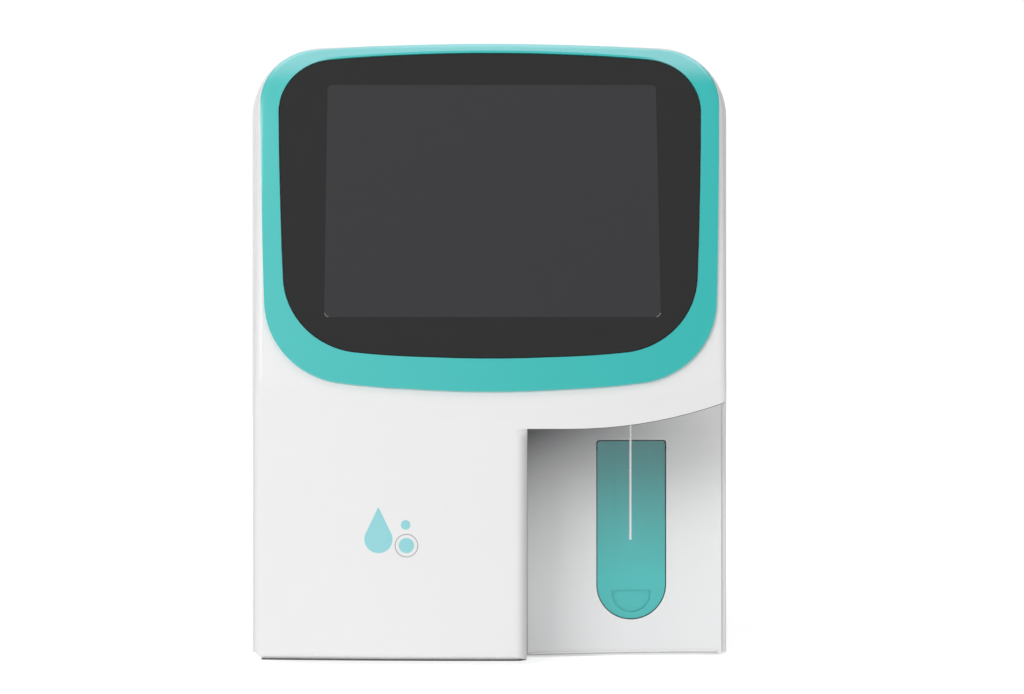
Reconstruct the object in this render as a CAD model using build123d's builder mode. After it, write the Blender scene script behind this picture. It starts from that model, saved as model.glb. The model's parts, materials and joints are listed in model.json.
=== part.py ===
from build123d import *
import math
import os

os.makedirs("parts", exist_ok=True)

# A benchtop blood cell counter. X runs to the right as seen from the front, Y to the rear and Z up.
# The origin is the middle of the footprint, on the table. All lengths are in millimetres.

# Case
case_width = 308.0
case_top = 397.0
chin_y = -205.0
parting_y = -130.0
cover_rear_y = 200.0
crown_radius = 2200.0
cover_corner = 45.0
cover_wall = 3.0
cover_bottom = 1.5
lap_fit = 0.3
seam = 0.4

# Front housing
housing_wall = 3.0
housing_top = 396.0
housing_corner = 42.0
housing_bottom = 4.0
low_corner = 6.0
rim_radius = 5.0
crease_radius = 20.0
chin_z = 158.0
lower_lean = 4.5
side_draft = 0.048
bow_radius = 1400.0
lap_depth = 8.0

# Screen face, measured up the slope from the chin line
screen_lean = 16.0
ring_proud = 2.0
ring_gap = 0.35
glass_thick = 2.0
glass_proud = 1.4
window_width = 215.0
window_height = 159.5
window_shift = 1.0
lcd_width = 240.0
lcd_height = 180.0
lcd_thick = 7.0
lcd_mid = 140.8

# Sampling bay
bay_left = 23.0
lip_z = 149.1
lip_bend_x = 50.0
lip_bend_radius = 290.0
bay_edge_radius = 8.0
liner_thick = 3.0
liner_radius = 496.0
liner_axis_x = 149.0
liner_axis_y = -627.0
liner_fit = 0.4

# Aspirate key
key_x = 91.9
key_width = 44.4
key_top = 139.1
key_low = 24.0
key_corner = 2.0
key_gap = 0.6
key_sink = 1.2
key_thick = 3.0
key_hinge_z = 134.0
key_hinge_back = 9.0
key_pin_radius = 1.5
pin_fit = 0.05
key_travel_deg = 2.0

# Sampling needle and its lift
needle_x = 89.6
needle_y = -160.0
needle_tip_z = 77.0
needle_radius = 0.8
arm_z = 166.0
arm_thick = 6.0
bulkhead_y = -100.0
sheet = 2.0

# Base, rear panel and door
base_z = 8.0
base_front_y = -120.0
base_inset = 8.0
tab_reach = 16.0
tab_half = 9.0
tab_margin = 8.0
housing_screw_x = (-112.0, -20.0)
liner_screw_x = (88.0, 124.0)
screw_radius = 1.5
screw_fit = 0.1
foot_radius = 12.0
foot_x = 118.0
foot_front_y = -98.0
foot_rear_y = 135.0
panel_y = 190.0
rear_reach_y = 204.7
door_low = 60.0
door_drop = 75.0
door_front_y = -70.0
door_axis_y = 140.0
door_gap = 0.5
knuckle_radius = 3.5

half_case = case_width / 2
cover_half = half_case - cover_wall
housing_half = cover_half - lap_fit
base_half = half_case - base_inset
base_top = base_z + sheet
door_high = case_top - door_drop
screen_sin = math.sin(math.radians(screen_lean))
screen_cos = math.cos(math.radians(screen_lean))
screen_plane = Plane(origin=(0, chin_y, chin_z), x_dir=(1, 0, 0), z_dir=(0, -screen_cos, screen_sin))
lean_sin = math.sin(math.radians(lower_lean))
lean_cos = math.cos(math.radians(lower_lean))
lower_plane = Plane(origin=(0, chin_y, chin_z), x_dir=(1, 0, 0), z_dir=(0, -lean_sin, lean_cos))


def save(builder, name):
    """Label a finished piece and write it."""
    builder.part.label = name
    export_step(builder.part, f"parts/{name}.step")


def front_plane(y):
    """A plane that faces the front at depth y, with its own x and y along X and Z."""
    return Plane.XZ.offset(-y)


def box(x0, x1, y0, y1, z0, z1, mode=Mode.ADD):
    """A block between two corners, inside the current part."""
    with BuildSketch(Plane.XY.offset(z0)) as base:
        with Locations(((x0 + x1) / 2, (y0 + y1) / 2)):
            Rectangle(x1 - x0, y1 - y0)
    extrude(base.sketch, amount=z1 - z0, mode=mode)


def rod(x, y, z, radius, length, direction, mode=Mode.ADD):
    """A round bar from one end's centre, inside the current part."""
    with BuildSketch(Plane(origin=(x, y, z), z_dir=direction)) as end:
        Circle(radius)
    extrude(end.sketch, amount=length, mode=mode)


def case_outline(plane, half_width, bottom, top, corner, low):
    """Front view of the case: straight sides, an arched top and four rounded corners."""
    shoulder = top - (crown_radius - math.sqrt(crown_radius**2 - half_width**2))
    with BuildSketch(plane) as sketch:
        with BuildLine():
            Polyline((-half_width, shoulder), (-half_width, bottom), (half_width, bottom), (half_width, shoulder))
            ThreePointArc((half_width, shoulder), (0, top), (-half_width, shoulder))
        make_face()
        fillet(sketch.vertices().group_by(Axis.Y)[-1], corner)
        fillet(sketch.vertices().group_by(Axis.Y)[0], low)
    return sketch.sketch


def barrel_outline(plane, low_mid, low_half, low_side, high_mid, high_half, high_side, bulge, low_fillet,
                   high_fillet, grow=0.0):
    """A screen outline: four bowed sides with rounded corners."""
    side_mid = ((low_half + high_half) / 2 + bulge, (low_side + high_side) / 2)
    with BuildSketch(plane) as sketch:
        with BuildLine():
            ThreePointArc((-low_half, low_side), (0, low_mid), (low_half, low_side))
            ThreePointArc((low_half, low_side), side_mid, (high_half, high_side))
            ThreePointArc((high_half, high_side), (0, high_mid), (-high_half, high_side))
            ThreePointArc((-high_half, high_side), (-side_mid[0], side_mid[1]), (-low_half, low_side))
        make_face()
        fillet(sketch.vertices().group_by(Axis.Y)[0], low_fillet)
        fillet(sketch.vertices().group_by(Axis.Y)[-1], high_fillet)
        if grow:
            offset(amount=grow)
    return sketch.sketch


def ring_outline(plane):
    """The outer edge of the coloured ring."""
    return barrel_outline(plane, 14.5, 139.5, 28.3, 247.4, 148.0, 239.6, 1.2, 38.0, 32.0)


def glass_outline(plane, grow=0.0):
    """The edge of the screen glass, or the opening around it."""
    return barrel_outline(plane, 35.9, 127.3, 46.0, 240.6, 135.8, 232.2, 1.5, 36.0, 26.5, grow)


def housing_form(inset):
    """The front housing's outside, drawn in by inset on every face but the open back."""
    deep = 120.0
    far = 500.0
    half = housing_half - inset
    ends = [case_outline(front_plane(parting_y - depth), half - side_draft * depth, housing_bottom + inset,
                         housing_top - inset, housing_corner - inset, low_corner - inset)
            for depth in (0.0, deep)]
    with BuildSketch(lower_plane) as bow:
        with Locations((0, bow_radius)):
            Circle(bow_radius - inset)
    with BuildSketch(screen_plane.offset(-inset)) as slope:
        Rectangle(2 * far, 2 * far)
    with BuildPart() as form:
        loft([end.face() for end in ends], ruled=True)
        extrude(bow.sketch, amount=far, both=True, mode=Mode.INTERSECT)
        extrude(slope.sketch, amount=-far, mode=Mode.INTERSECT)
        fillet(form.edges().sort_by_distance((0, chin_y, chin_z))[0], crease_radius - inset)
        across = form.edges().filter_by(
            lambda e: abs(e.center().X) < 1 and abs(e.center().Z - chin_z) < 2 * crease_radius)
        back = form.edges().filter_by(lambda e: abs(e.center().Y - parting_y) < 0.01)
        rim = form.edges().filter_by(
            lambda e: e not in across and e not in back and abs((e % 0.5).Y) < 0.9)
        fillet(rim, rim_radius - inset)
    return form.part


def lip_rise(x):
    """How far the lip has swept up at x."""
    return lip_bend_radius - math.sqrt(lip_bend_radius**2 - (x - lip_bend_x) ** 2)


def bay_space(grow):
    """The sampling bay cut: a tall space to the right, under a lip that sweeps up, with a rounded left edge."""
    left = bay_left - grow
    lip = lip_z + grow
    right = half_case + 10
    front = chin_y - 20
    with BuildPart() as space:
        with BuildSketch(front_plane(parting_y + lap_depth + 1)):
            with BuildLine():
                flat = Line((left, lip), (lip_bend_x, lip))
                sweep_up = TangentArc(flat @ 1, (right, lip + lip_rise(right)), tangent=flat % 1)
                Polyline(sweep_up @ 1, (right, -10), (left, -10), (left, lip))
            make_face()
        extrude(amount=parting_y + lap_depth + 1 - front)
    with BuildPart() as corner:
        edge_x = bay_left - bay_edge_radius
        with BuildSketch(lower_plane):
            with Locations((edge_x + bay_edge_radius / 2, 0)):
                Rectangle(bay_edge_radius, 2 * bay_edge_radius)
            with Locations((edge_x, bay_edge_radius + edge_x**2 / (2 * bow_radius))):
                Circle(bay_edge_radius - grow, mode=Mode.SUBTRACT)
        extrude(amount=-2 * chin_z)
        extrude(split_below(lip), amount=2 * chin_z, mode=Mode.INTERSECT)
    with BuildPart() as both:
        add(space.part)
        add(corner.part)
    return both.part


def split_below(z):
    """A wide sheet whose downward extrusion is everything below z."""
    with BuildSketch(Plane.XY.offset(z).rotated((180, 0, 0))) as cut:
        Rectangle(4 * case_width, 4 * case_width)
    return cut.sketch


# Front housing: one moulded shell with the screen slope above and the sampling bay cut from its lower right
outer_form = housing_form(0)
inner_form = housing_form(housing_wall)
glass_pocket = glass_outline(screen_plane.offset(glass_proud - glass_thick), ring_gap)
with BuildSketch(screen_plane) as window:
    with Locations((window_shift, lcd_mid)):
        RectangleRounded(window_width, window_height, 3.0)

lap_outline = case_outline(front_plane(parting_y), housing_half, housing_bottom, case_top - cover_wall - lap_fit,
                           cover_corner - cover_wall, low_corner)
lap_inside = case_outline(front_plane(parting_y), housing_half - housing_wall, housing_bottom + housing_wall,
                          case_top - cover_wall - lap_fit - housing_wall, cover_corner - cover_wall - housing_wall,
                          low_corner - housing_wall)
needle_hole_radius = 4.0
with BuildPart() as front_cavity:
    add(inner_form)
    add(bay_space(housing_wall), mode=Mode.SUBTRACT)
with BuildPart() as front_lap:
    extrude(lap_outline, amount=-lap_depth)
    extrude(lap_inside, amount=-lap_depth, mode=Mode.SUBTRACT)
with BuildPart() as front_housing:
    add(outer_form)
    add(front_cavity.part, mode=Mode.SUBTRACT)
    add(front_lap.part)
    add(bay_space(0), mode=Mode.SUBTRACT)
    extrude(glass_pocket, amount=3 * ring_proud, mode=Mode.SUBTRACT)
    extrude(window.sketch, amount=4 * housing_wall, both=True, mode=Mode.SUBTRACT)
    rod(needle_x, needle_y, lip_z - 5, needle_hole_radius, 20, (0, 0, 1), Mode.SUBTRACT)
    for x in housing_screw_x:
        x0, x1 = x - tab_half, x + tab_half
        box(x0, x1, parting_y - 4, base_front_y - 1, housing_bottom + 2, base_top + housing_wall)
        box(x0, x1, base_front_y - 2, base_front_y + tab_reach, base_top, base_top + housing_wall)
        rod(x, base_front_y + tab_reach / 2, base_top - 1, screw_radius + screw_fit, 10, (0, 0, 1), Mode.SUBTRACT)
save(front_housing, "front_housing")

# Coloured ring: a skin that follows the housing and rolls over its top edge
ring_form = housing_form(-ring_proud)
with BuildPart() as bezel_ring:
    extrude(ring_outline(screen_plane.offset(-30)), amount=60)
    add(ring_form, mode=Mode.INTERSECT)
    add(outer_form, mode=Mode.SUBTRACT)
    extrude(glass_outline(screen_plane.offset(-30), ring_gap), amount=60, mode=Mode.SUBTRACT)
save(bezel_ring, "bezel_ring")

# Screen glass
with BuildPart() as front_glass:
    extrude(glass_outline(screen_plane.offset(glass_proud - glass_thick)), amount=glass_thick)
    chamfer(front_glass.faces().sort_by(Axis((0, 0, 0), (0, -screen_cos, screen_sin)))[-1].edges(), 0.4)
save(front_glass, "front_glass")

# Bay liner: the curved back wall of the bay, with a cut-out for the aspirate key


def wall_y(x):
    """Depth of the bay wall's front surface at x."""
    return liner_axis_y + math.sqrt(liner_radius**2 - (liner_axis_x - x) ** 2)


def wall_sector(front_radius, thick):
    """An upright curved wall, coaxial with the bay's back."""
    with BuildSketch(Plane.XY.offset(-20)) as plan:
        with Locations((liner_axis_x, liner_axis_y)):
            Circle(front_radius + thick)
            Circle(front_radius, mode=Mode.SUBTRACT)
    with BuildPart() as wall:
        extrude(plan.sketch, amount=case_top)
        box(-case_width, case_width, liner_axis_y - 2 * liner_radius, liner_axis_y, -30, case_top + 30,
            Mode.SUBTRACT)
    return wall.part


def key_outline(grow):
    """The key's front view: a tall plate with a half-round foot."""
    half = key_width / 2 + grow
    foot_z = key_low + key_width / 2
    with BuildSketch(front_plane(chin_y)) as sketch:
        with BuildLine():
            Polyline((key_x - half, foot_z), (key_x - half, key_top + grow), (key_x + half, key_top + grow),
                     (key_x + half, foot_z))
            ThreePointArc((key_x + half, foot_z), (key_x, foot_z - half), (key_x - half, foot_z))
        make_face()
        fillet(sketch.vertices().group_by(Axis.Y)[-1], key_corner)
    return sketch.sketch


liner_right = housing_half
liner_bottom = cover_bottom
with BuildPart() as liner_blank:
    add(bay_space(-liner_fit))
    box(-case_width, liner_right, chin_y - 50, parting_y + 50, liner_bottom, case_top, Mode.INTERSECT)
hinge_y = wall_y(key_x) + key_hinge_back
ear_half = key_width / 2 - 5
ear_thick = 4.0
lug_thick = 4.0
lug_x = key_width / 2 + 1.5
lug_radius = 4.0
with BuildPart() as liner_tab:
    box(key_x - key_width / 2, housing_half - tab_margin, wall_y(key_x), base_front_y + tab_reach, base_top,
        base_top + housing_wall)
    rod(liner_axis_x, liner_axis_y, 0, liner_radius + liner_thick / 2, case_top, (0, 0, 1), Mode.SUBTRACT)
with BuildPart() as bay_liner:
    add(liner_blank.part)
    add(wall_sector(liner_radius, liner_thick), mode=Mode.INTERSECT)
    extrude(key_outline(key_gap), amount=-200, mode=Mode.SUBTRACT)
    for side in (-1, 1):
        x_in = key_x + side * lug_x
        x_out = key_x + side * (lug_x + lug_thick)
        box(min(x_in, x_out), max(x_in, x_out), wall_y((x_in + x_out) / 2) + liner_thick / 2,
            hinge_y + lug_radius, key_hinge_z - lug_radius, key_hinge_z + lug_radius)
    rod(key_x - lug_x - lug_thick - 1, hinge_y, key_hinge_z, key_pin_radius + pin_fit,
        2 * (lug_x + lug_thick + 1), (1, 0, 0), Mode.SUBTRACT)
    add(liner_tab.part)
    for x in liner_screw_x:
        rod(x, base_front_y + tab_reach / 2, base_top - 1, screw_radius + screw_fit, 10, (0, 0, 1), Mode.SUBTRACT)
save(bay_liner, "bay_liner")

# Aspirate key: a curved pad on two ears, pressed at its foot
dimple_depth = 1.2
dimple_half = 12.5
dimple_low = 28.0
dimple_high = 42.5
with BuildSketch(front_plane(chin_y)) as dimple:
    with BuildLine():
        Line((key_x - dimple_half, dimple_high), (key_x + dimple_half, dimple_high))
        ThreePointArc((key_x + dimple_half, dimple_high), (key_x, dimple_low), (key_x - dimple_half, dimple_high))
    make_face()
with BuildPart() as key_pad:
    extrude(key_outline(0), amount=-200)
    add(wall_sector(liner_radius + key_sink, key_thick), mode=Mode.INTERSECT)
with BuildPart() as key_dimple:
    extrude(dimple.sketch, amount=-200)
    add(wall_sector(liner_radius + key_sink - 1, 1 + dimple_depth), mode=Mode.INTERSECT)
with BuildPart() as aspirate_key:
    add(key_pad.part)
    add(key_dimple.part, mode=Mode.SUBTRACT)
    pad_back_y = hinge_y - key_hinge_back + key_sink + key_thick / 2
    for side in (-1, 1):
        x_out = key_x + side * ear_half
        x_in = key_x + side * (ear_half - ear_thick)
        box(min(x_in, x_out), max(x_in, x_out), pad_back_y, hinge_y + 3.0, key_hinge_z - 3.0, key_hinge_z + 3.0)
    rod(key_x - lug_x - lug_thick + 0.5, hinge_y, key_hinge_z, key_pin_radius,
        2 * (lug_x + lug_thick - 0.5), (1, 0, 0))
save(aspirate_key, "aspirate_key")

# Key return spring and switch, on a bracket behind the key
key_back_y = wall_y(key_x) + key_sink + key_thick
bracket_y = bulkhead_y - 12.0
bracket_half = 10.0
spring_z = 62.0
spring_radius = 4.0
spring_wire = 0.5
spring_turns = 5
spring_gap = 0.3
switch_z = 38.0
switch_gap = 0.35
press_depth = (key_hinge_z - switch_z) * math.sin(math.radians(key_travel_deg))
with BuildPart() as key_bracket:
    box(key_x - bracket_half, key_x + bracket_half, bracket_y, bracket_y + sheet, switch_z - 12, spring_z + 8)
    for z in (switch_z - 12, spring_z + 8 - sheet):
        box(key_x - bracket_half, key_x + bracket_half, bracket_y, bulkhead_y, z, z + sheet)
save(key_bracket, "key_bracket")

spring_length = bracket_y - spring_gap - (key_back_y + spring_gap)
with BuildPart() as key_spring:
    with BuildLine() as coil:
        Helix(pitch=(spring_length - 2 * spring_wire) / spring_turns, height=spring_length - 2 * spring_wire,
              radius=spring_radius, center=(key_x, bracket_y - spring_gap - spring_wire, spring_z),
              direction=(0, -1, 0))
    with BuildSketch(Plane(origin=coil.line @ 0, z_dir=coil.line % 0)):
        RegularPolygon(spring_wire, 6)
    sweep(is_frenet=True)
save(key_spring, "key_spring")

switch_tip_y = key_back_y + press_depth + switch_gap
with BuildPart() as key_switch:
    box(key_x - 6.5, key_x + 6.5, switch_tip_y + 1.5, bracket_y, switch_z - 3.2, switch_z + 3.2)
    rod(key_x, switch_tip_y, switch_z, 1.2, 2.0, (0, 1, 0))
    for dx in (-4.5, 0, 4.5):
        box(key_x + dx - 0.4, key_x + dx + 0.4, bracket_y - 2, bracket_y, switch_z - 6.5, switch_z - 3)
save(key_switch, "key_switch")

# Sampling needle lift: rail, carriage, arm, lead screw and motor on a folded frame
flange_half = 10.0
ceiling_top = lip_z + lip_rise(needle_x + flange_half) + housing_wall
lift_low = ceiling_top + 0.3
lift_drop = 93.0
lift_high = case_top - lift_drop
lift_half = 30.0
rail_half = 4.5
rail_deep = 6.0
rail_fit = 0.3
carriage_half = 10.0
carriage_front_y = -118.0
carriage_low = lift_low + sheet + 2.5
carriage_tall = 24.0
screw_x = 108.0
screw_y = -112.0
lead_radius = 3.0
motor_size = 42.0
motor_tall = 34.0
wing_low = carriage_low + 3.0
wing_tall = 12.0
rail_y = bulkhead_y - sheet - rail_deep
with BuildPart() as lift_frame:
    box(needle_x - lift_half + 6, needle_x + lift_half, bulkhead_y - sheet, bulkhead_y, lift_low,
        lift_high + sheet)
    box(needle_x - flange_half, needle_x + flange_half, needle_y - 9, bulkhead_y, lift_low, lift_low + sheet)
    box(needle_x, needle_x + lift_half, screw_y - 9, bulkhead_y, lift_low, lift_low + sheet)
    box(screw_x - motor_size / 2, screw_x + motor_size / 2, screw_y - motor_size / 2 - 1, bulkhead_y, lift_high,
        lift_high + sheet)
    rod(needle_x, needle_y, lift_low - 1, 3.0, 10, (0, 0, 1), Mode.SUBTRACT)
    for z in (lift_low, lift_high):
        rod(screw_x, screw_y, z - 1, lead_radius + pin_fit, 10, (0, 0, 1), Mode.SUBTRACT)
save(lift_frame, "lift_frame")

with BuildPart() as lift_rail:
    box(needle_x - rail_half, needle_x + rail_half, rail_y, bulkhead_y - sheet, lift_low + sheet, lift_high - 4)
    for side in (-1, 1):
        rod(needle_x + side * rail_half, rail_y + rail_deep / 2, lift_low, 1.0, lift_high, (0, 0, 1),
            Mode.SUBTRACT)
save(lift_rail, "lift_rail")

with BuildPart() as lift_carriage:
    box(needle_x - carriage_half, needle_x + carriage_half, carriage_front_y, rail_y + rail_deep - 1.5,
        carriage_low, carriage_low + carriage_tall)
    box(needle_x + carriage_half, screw_x + 8, carriage_front_y, rail_y + 2, wing_low, wing_low + wing_tall)
    box(needle_x - rail_half - rail_fit, needle_x + rail_half + rail_fit, rail_y - rail_fit, bulkhead_y,
        carriage_low, carriage_low + carriage_tall, Mode.SUBTRACT)
    rod(screw_x, screw_y, wing_low - 1, lead_radius + pin_fit, wing_tall + 2, (0, 0, 1), Mode.SUBTRACT)
save(lift_carriage, "lift_carriage")

with BuildPart() as lift_screw:
    rod(screw_x, screw_y, lift_low - 1, lead_radius, lift_high - lift_low + 14, (0, 0, 1))
save(lift_screw, "lift_screw")

with BuildPart() as lift_motor:
    with BuildSketch(Plane.XY.offset(lift_high + sheet)):
        with Locations((screw_x, screw_y)):
            RectangleRounded(motor_size, motor_size, 5)
    extrude(amount=motor_tall)
    rod(screw_x, screw_y, lift_high, lead_radius + pin_fit, sheet + 14, (0, 0, 1), Mode.SUBTRACT)
    rod(screw_x, screw_y, lift_high + sheet + motor_tall - 1, 11, 2.5, (0, 0, 1))
save(lift_motor, "lift_motor")

with BuildPart() as probe_arm:
    with BuildSketch(Plane.XY.offset(arm_z)):
        with BuildLine():
            Polyline((needle_x - 8, carriage_front_y), (needle_x - 3.5, needle_y), (needle_x + 3.5, needle_y),
                     (needle_x + 8, carriage_front_y), (needle_x - 8, carriage_front_y))
        make_face()
        with Locations((needle_x, needle_y)):
            Circle(4.5)
            Circle(needle_radius + pin_fit, mode=Mode.SUBTRACT)
    extrude(amount=arm_thick)
    box(needle_x - 8, needle_x + 8, carriage_front_y - 3, carriage_front_y, arm_z - 5, arm_z + arm_thick + 4)
save(probe_arm, "probe_arm")

needle_top_z = arm_z + arm_thick + 3.0
with BuildPart() as needle:
    rod(needle_x, needle_y, needle_tip_z, needle_radius, arm_z + arm_thick + 1 - needle_tip_z, (0, 0, 1))
    split(bisect_by=Plane(origin=(needle_x, needle_y - needle_radius, needle_tip_z), z_dir=(0, -1, 2.2)),
          keep=Keep.TOP)
save(needle, "needle")

with BuildPart() as needle_hub:
    rod(needle_x, needle_y, arm_z + arm_thick, 3.0, needle_top_z - arm_z - arm_thick + 1, (0, 0, 1))
    rod(needle_x, needle_y, arm_z + arm_thick - 1, needle_radius + pin_fit, 2, (0, 0, 1), Mode.SUBTRACT)
    rod(needle_x, needle_y, needle_top_z - 1, 0.9, 10, (0, 1, 0))
save(needle_hub, "needle_hub")

with BuildPart() as wipe_block:
    wipe_high = arm_z - 1.2
    box(needle_x - 7, needle_x + 7, needle_y - 7, needle_y + 7, lift_low + sheet, wipe_high)
    fillet(wipe_block.edges().filter_by(Axis.Z), 2)
    for side in (-1, 1):
        rod(needle_x, needle_y, lift_low + sheet + 3, 1.5, 12, (side, 0, 0))
    rod(needle_x, needle_y, lift_low, needle_radius + 0.4, 20, (0, 0, 1), Mode.SUBTRACT)
save(wipe_block, "wipe_block")

# Frame: base plate, feet, bulkhead and divider
foot_places = [(x, y) for x in (-foot_x, foot_x) for y in (foot_front_y, foot_rear_y)]
with BuildPart() as base_plate:
    box(-base_half, base_half, base_front_y, panel_y - 1, base_z, base_top)
    fillet(base_plate.edges().filter_by(Axis.Z), 6)
    for x, y in foot_places:
        rod(x, y, base_z - 1, screw_radius + screw_fit, 10, (0, 0, 1), Mode.SUBTRACT)
    for x in housing_screw_x + liner_screw_x:
        rod(x, base_front_y + tab_reach / 2, base_z - 1, screw_radius + screw_fit, 10, (0, 0, 1), Mode.SUBTRACT)
save(base_plate, "base_plate")

with BuildPart() as feet:
    for x, y in foot_places:
        with BuildSketch(Plane.XY) as low:
            with Locations((x, y)):
                Circle(foot_radius - 1.5)
        with BuildSketch(Plane.XY.offset(base_z)) as high:
            with Locations((x, y)):
                Circle(foot_radius)
        loft([low.sketch.face(), high.sketch.face()])
        rod(x, y, -1, 3.5, 4.5, (0, 0, 1), Mode.SUBTRACT)
        rod(x, y, 0, screw_radius + screw_fit, base_z + 1, (0, 0, 1), Mode.SUBTRACT)
save(feet, "feet")


def pan_screws(name, places, length, direction):
    """Like screws as one group: a domed pan head with a cross recess on a plain shank."""
    with BuildPart() as screws:
        for place in places:
            head_plane = Plane(origin=place, z_dir=direction)
            with BuildSketch(head_plane) as head:
                Circle(2 * screw_radius)
            with BuildSketch(head_plane) as shank:
                Circle(screw_radius)
            with BuildSketch(head_plane.offset(1.0)) as cross:
                Rectangle(3.2, 0.7)
                Rectangle(0.7, 3.2)
            extrude(head.sketch, amount=2.0)
            extrude(shank.sketch, amount=-length)
            extrude(cross.sketch, amount=2.0, mode=Mode.SUBTRACT)
    save(screws, name)


pan_screws("foot_screws", [(x, y, 3.5) for x, y in foot_places], base_z - 1.5, (0, 0, -1))
pan_screws("front_screws",
           [(x, base_front_y + tab_reach / 2, base_top + housing_wall) for x in housing_screw_x + liner_screw_x],
           6.0, (0, 0, 1))

divider_x = -20.0
divider_high = case_top - 47.0
pass_z = divider_high - 25.0
with BuildPart() as divider:
    box(divider_x, divider_x + sheet, bulkhead_y + sheet, panel_y - 6, base_top, divider_high)
    box(divider_x - 18, divider_x, bulkhead_y + sheet, panel_y - 6, base_top, base_top + sheet)
    with BuildSketch(Plane.YZ.offset(divider_x - 1)) as passes:
        with Locations((-40, pass_z), (60, pass_z), (150, pass_z - 85), (150, 60)):
            RectangleRounded(50, 22, 6)
    extrude(passes.sketch, amount=sheet + 2, mode=Mode.SUBTRACT)
save(divider, "divider")

bulkhead_high = 300.0
with BuildPart() as bulkhead:
    box(divider_x, base_half - 2, bulkhead_y, bulkhead_y + sheet, base_top, bulkhead_high)
    box(divider_x + sheet, base_half - 2, bulkhead_y + sheet, bulkhead_y + 18, base_top, base_top + sheet)
    with BuildSketch(front_plane(bulkhead_y - 1)) as passes:
        with Locations((25, 90), (25, 220)):
            RectangleRounded(40, 60, 8)
    extrude(passes.sketch, amount=-sheet - 2, mode=Mode.SUBTRACT)
save(bulkhead, "bulkhead")

# Display: panel, bracket and driver board, square to the screen slope
lcd_front = -housing_wall - 0.2
lcd_back = lcd_front - lcd_thick
bracket_thick = 1.2
with BuildPart() as lcd_module:
    with BuildSketch(screen_plane.offset(lcd_front)):
        with Locations((window_shift, lcd_mid)):
            RectangleRounded(lcd_width, lcd_height, 2)
    extrude(amount=-lcd_thick)
save(lcd_module, "lcd_module")

with BuildPart() as lcd_bracket:
    with BuildSketch(screen_plane.offset(lcd_back)):
        with Locations((window_shift, lcd_mid)):
            RectangleRounded(lcd_width + 18, lcd_height - 20, 4)
            RectangleRounded(lcd_width - 60, lcd_height - 60, 6, mode=Mode.SUBTRACT)
    extrude(amount=-bracket_thick)
    with BuildSketch(screen_plane.offset(lcd_back)):
        with Locations((-50, lcd_mid)):
            Rectangle(20, lcd_height - 50)
    extrude(amount=-bracket_thick)
save(lcd_bracket, "lcd_bracket")

with BuildPart() as display_board:
    standoff = 4.0
    with BuildSketch(screen_plane.offset(lcd_back - bracket_thick - standoff)):
        with Locations((-50, lcd_mid)):
            Rectangle(120, 90)
    extrude(amount=-1.6)
    with BuildSketch(screen_plane.offset(lcd_back - bracket_thick - standoff)):
        with Locations((-50, lcd_mid + 38), (-50, lcd_mid - 38)):
            Circle(3)
    extrude(amount=standoff)
    with BuildSketch(screen_plane.offset(lcd_back - bracket_thick - standoff - 1.6)):
        with Locations((-70, lcd_mid + 10)):
            Rectangle(18, 18)
        with Locations((-30, lcd_mid + 20), (-30, lcd_mid - 15)):
            Rectangle(12, 8)
        with Locations((-80, lcd_mid - 32)):
            Rectangle(30, 6)
    extrude(amount=-1.6)
save(display_board, "display_board")

# Rear cover: a wrapped shell, open below, with a door opening in its right side
cover_front_y = parting_y + seam
cover_shape = case_outline(front_plane(cover_rear_y), half_case, cover_bottom, case_top, cover_corner, 1.0)
cover_hollow = case_outline(front_plane(cover_rear_y), cover_half, -20, case_top - cover_wall,
                            cover_corner - cover_wall, 1.0)
cover_depth = cover_rear_y - cover_front_y
boss_radius = 5.0
boss_long = 12.0
boss_x = half_case - 7.0
boss_low_z = 70.0
boss_high_z = case_top - 97.0
boss_top_z = case_top - 8.5
boss_places = [(x, z) for x in (-boss_x, boss_x) for z in (boss_low_z, boss_high_z)]
boss_places += [(x, boss_top_z) for x in (-60.0, 60.0)]
door_axis_x = half_case - knuckle_radius
door_swing_gap = 0.5
lug_long = 7.0
catch_z = 190.0
with BuildPart() as wrap_cover:
    extrude(cover_shape, amount=cover_depth)
    fillet(wrap_cover.faces().sort_by(Axis.Y)[0].edges().filter_by(
        lambda e: e.center().Z > cover_bottom + 0.5), 1.2)
    extrude(cover_hollow, amount=cover_depth, mode=Mode.SUBTRACT)
    for x, z in boss_places:
        rod(x, panel_y, z, boss_radius, boss_long, (0, -1, 0))
    for z in (door_low - lug_long, door_high):
        box(door_axis_x - 5, cover_half + 0.5, door_axis_y - 5, door_axis_y + 5, z, z + lug_long)
    extrude(cover_shape, amount=cover_depth, mode=Mode.INTERSECT)
    for x, z in boss_places:
        rod(x, panel_y + 1, z, screw_radius + screw_fit, boss_long - 2, (0, -1, 0), Mode.SUBTRACT)
    box(cover_half - 9, half_case + 9, door_front_y - door_gap, door_axis_y + knuckle_radius + door_swing_gap,
        door_low - door_gap, door_high + door_gap, Mode.SUBTRACT)
    rod(door_axis_x, door_axis_y, door_low - 5, key_pin_radius + pin_fit, door_high - door_low + 10, (0, 0, 1),
        Mode.SUBTRACT)
save(wrap_cover, "wrap_cover")

# Side door: a flat panel with a rolled hinge edge, two pins and a finger scoop
with BuildPart() as side_door:
    box(cover_half, half_case, door_front_y, door_axis_y, door_low, door_high)
    rod(door_axis_x, door_axis_y, door_low, knuckle_radius, door_high - door_low, (0, 0, 1))
    rod(door_axis_x, door_axis_y, door_low - 4, key_pin_radius, door_high - door_low + 8, (0, 0, 1))
    with BuildSketch(Plane.YZ.offset(half_case - 1.6)) as scoop:
        with Locations((door_front_y + 4, catch_z)):
            SlotOverall(44, 16, rotation=90)
    extrude(scoop.sketch, amount=5, mode=Mode.SUBTRACT)
save(side_door, "side_door")

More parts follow.
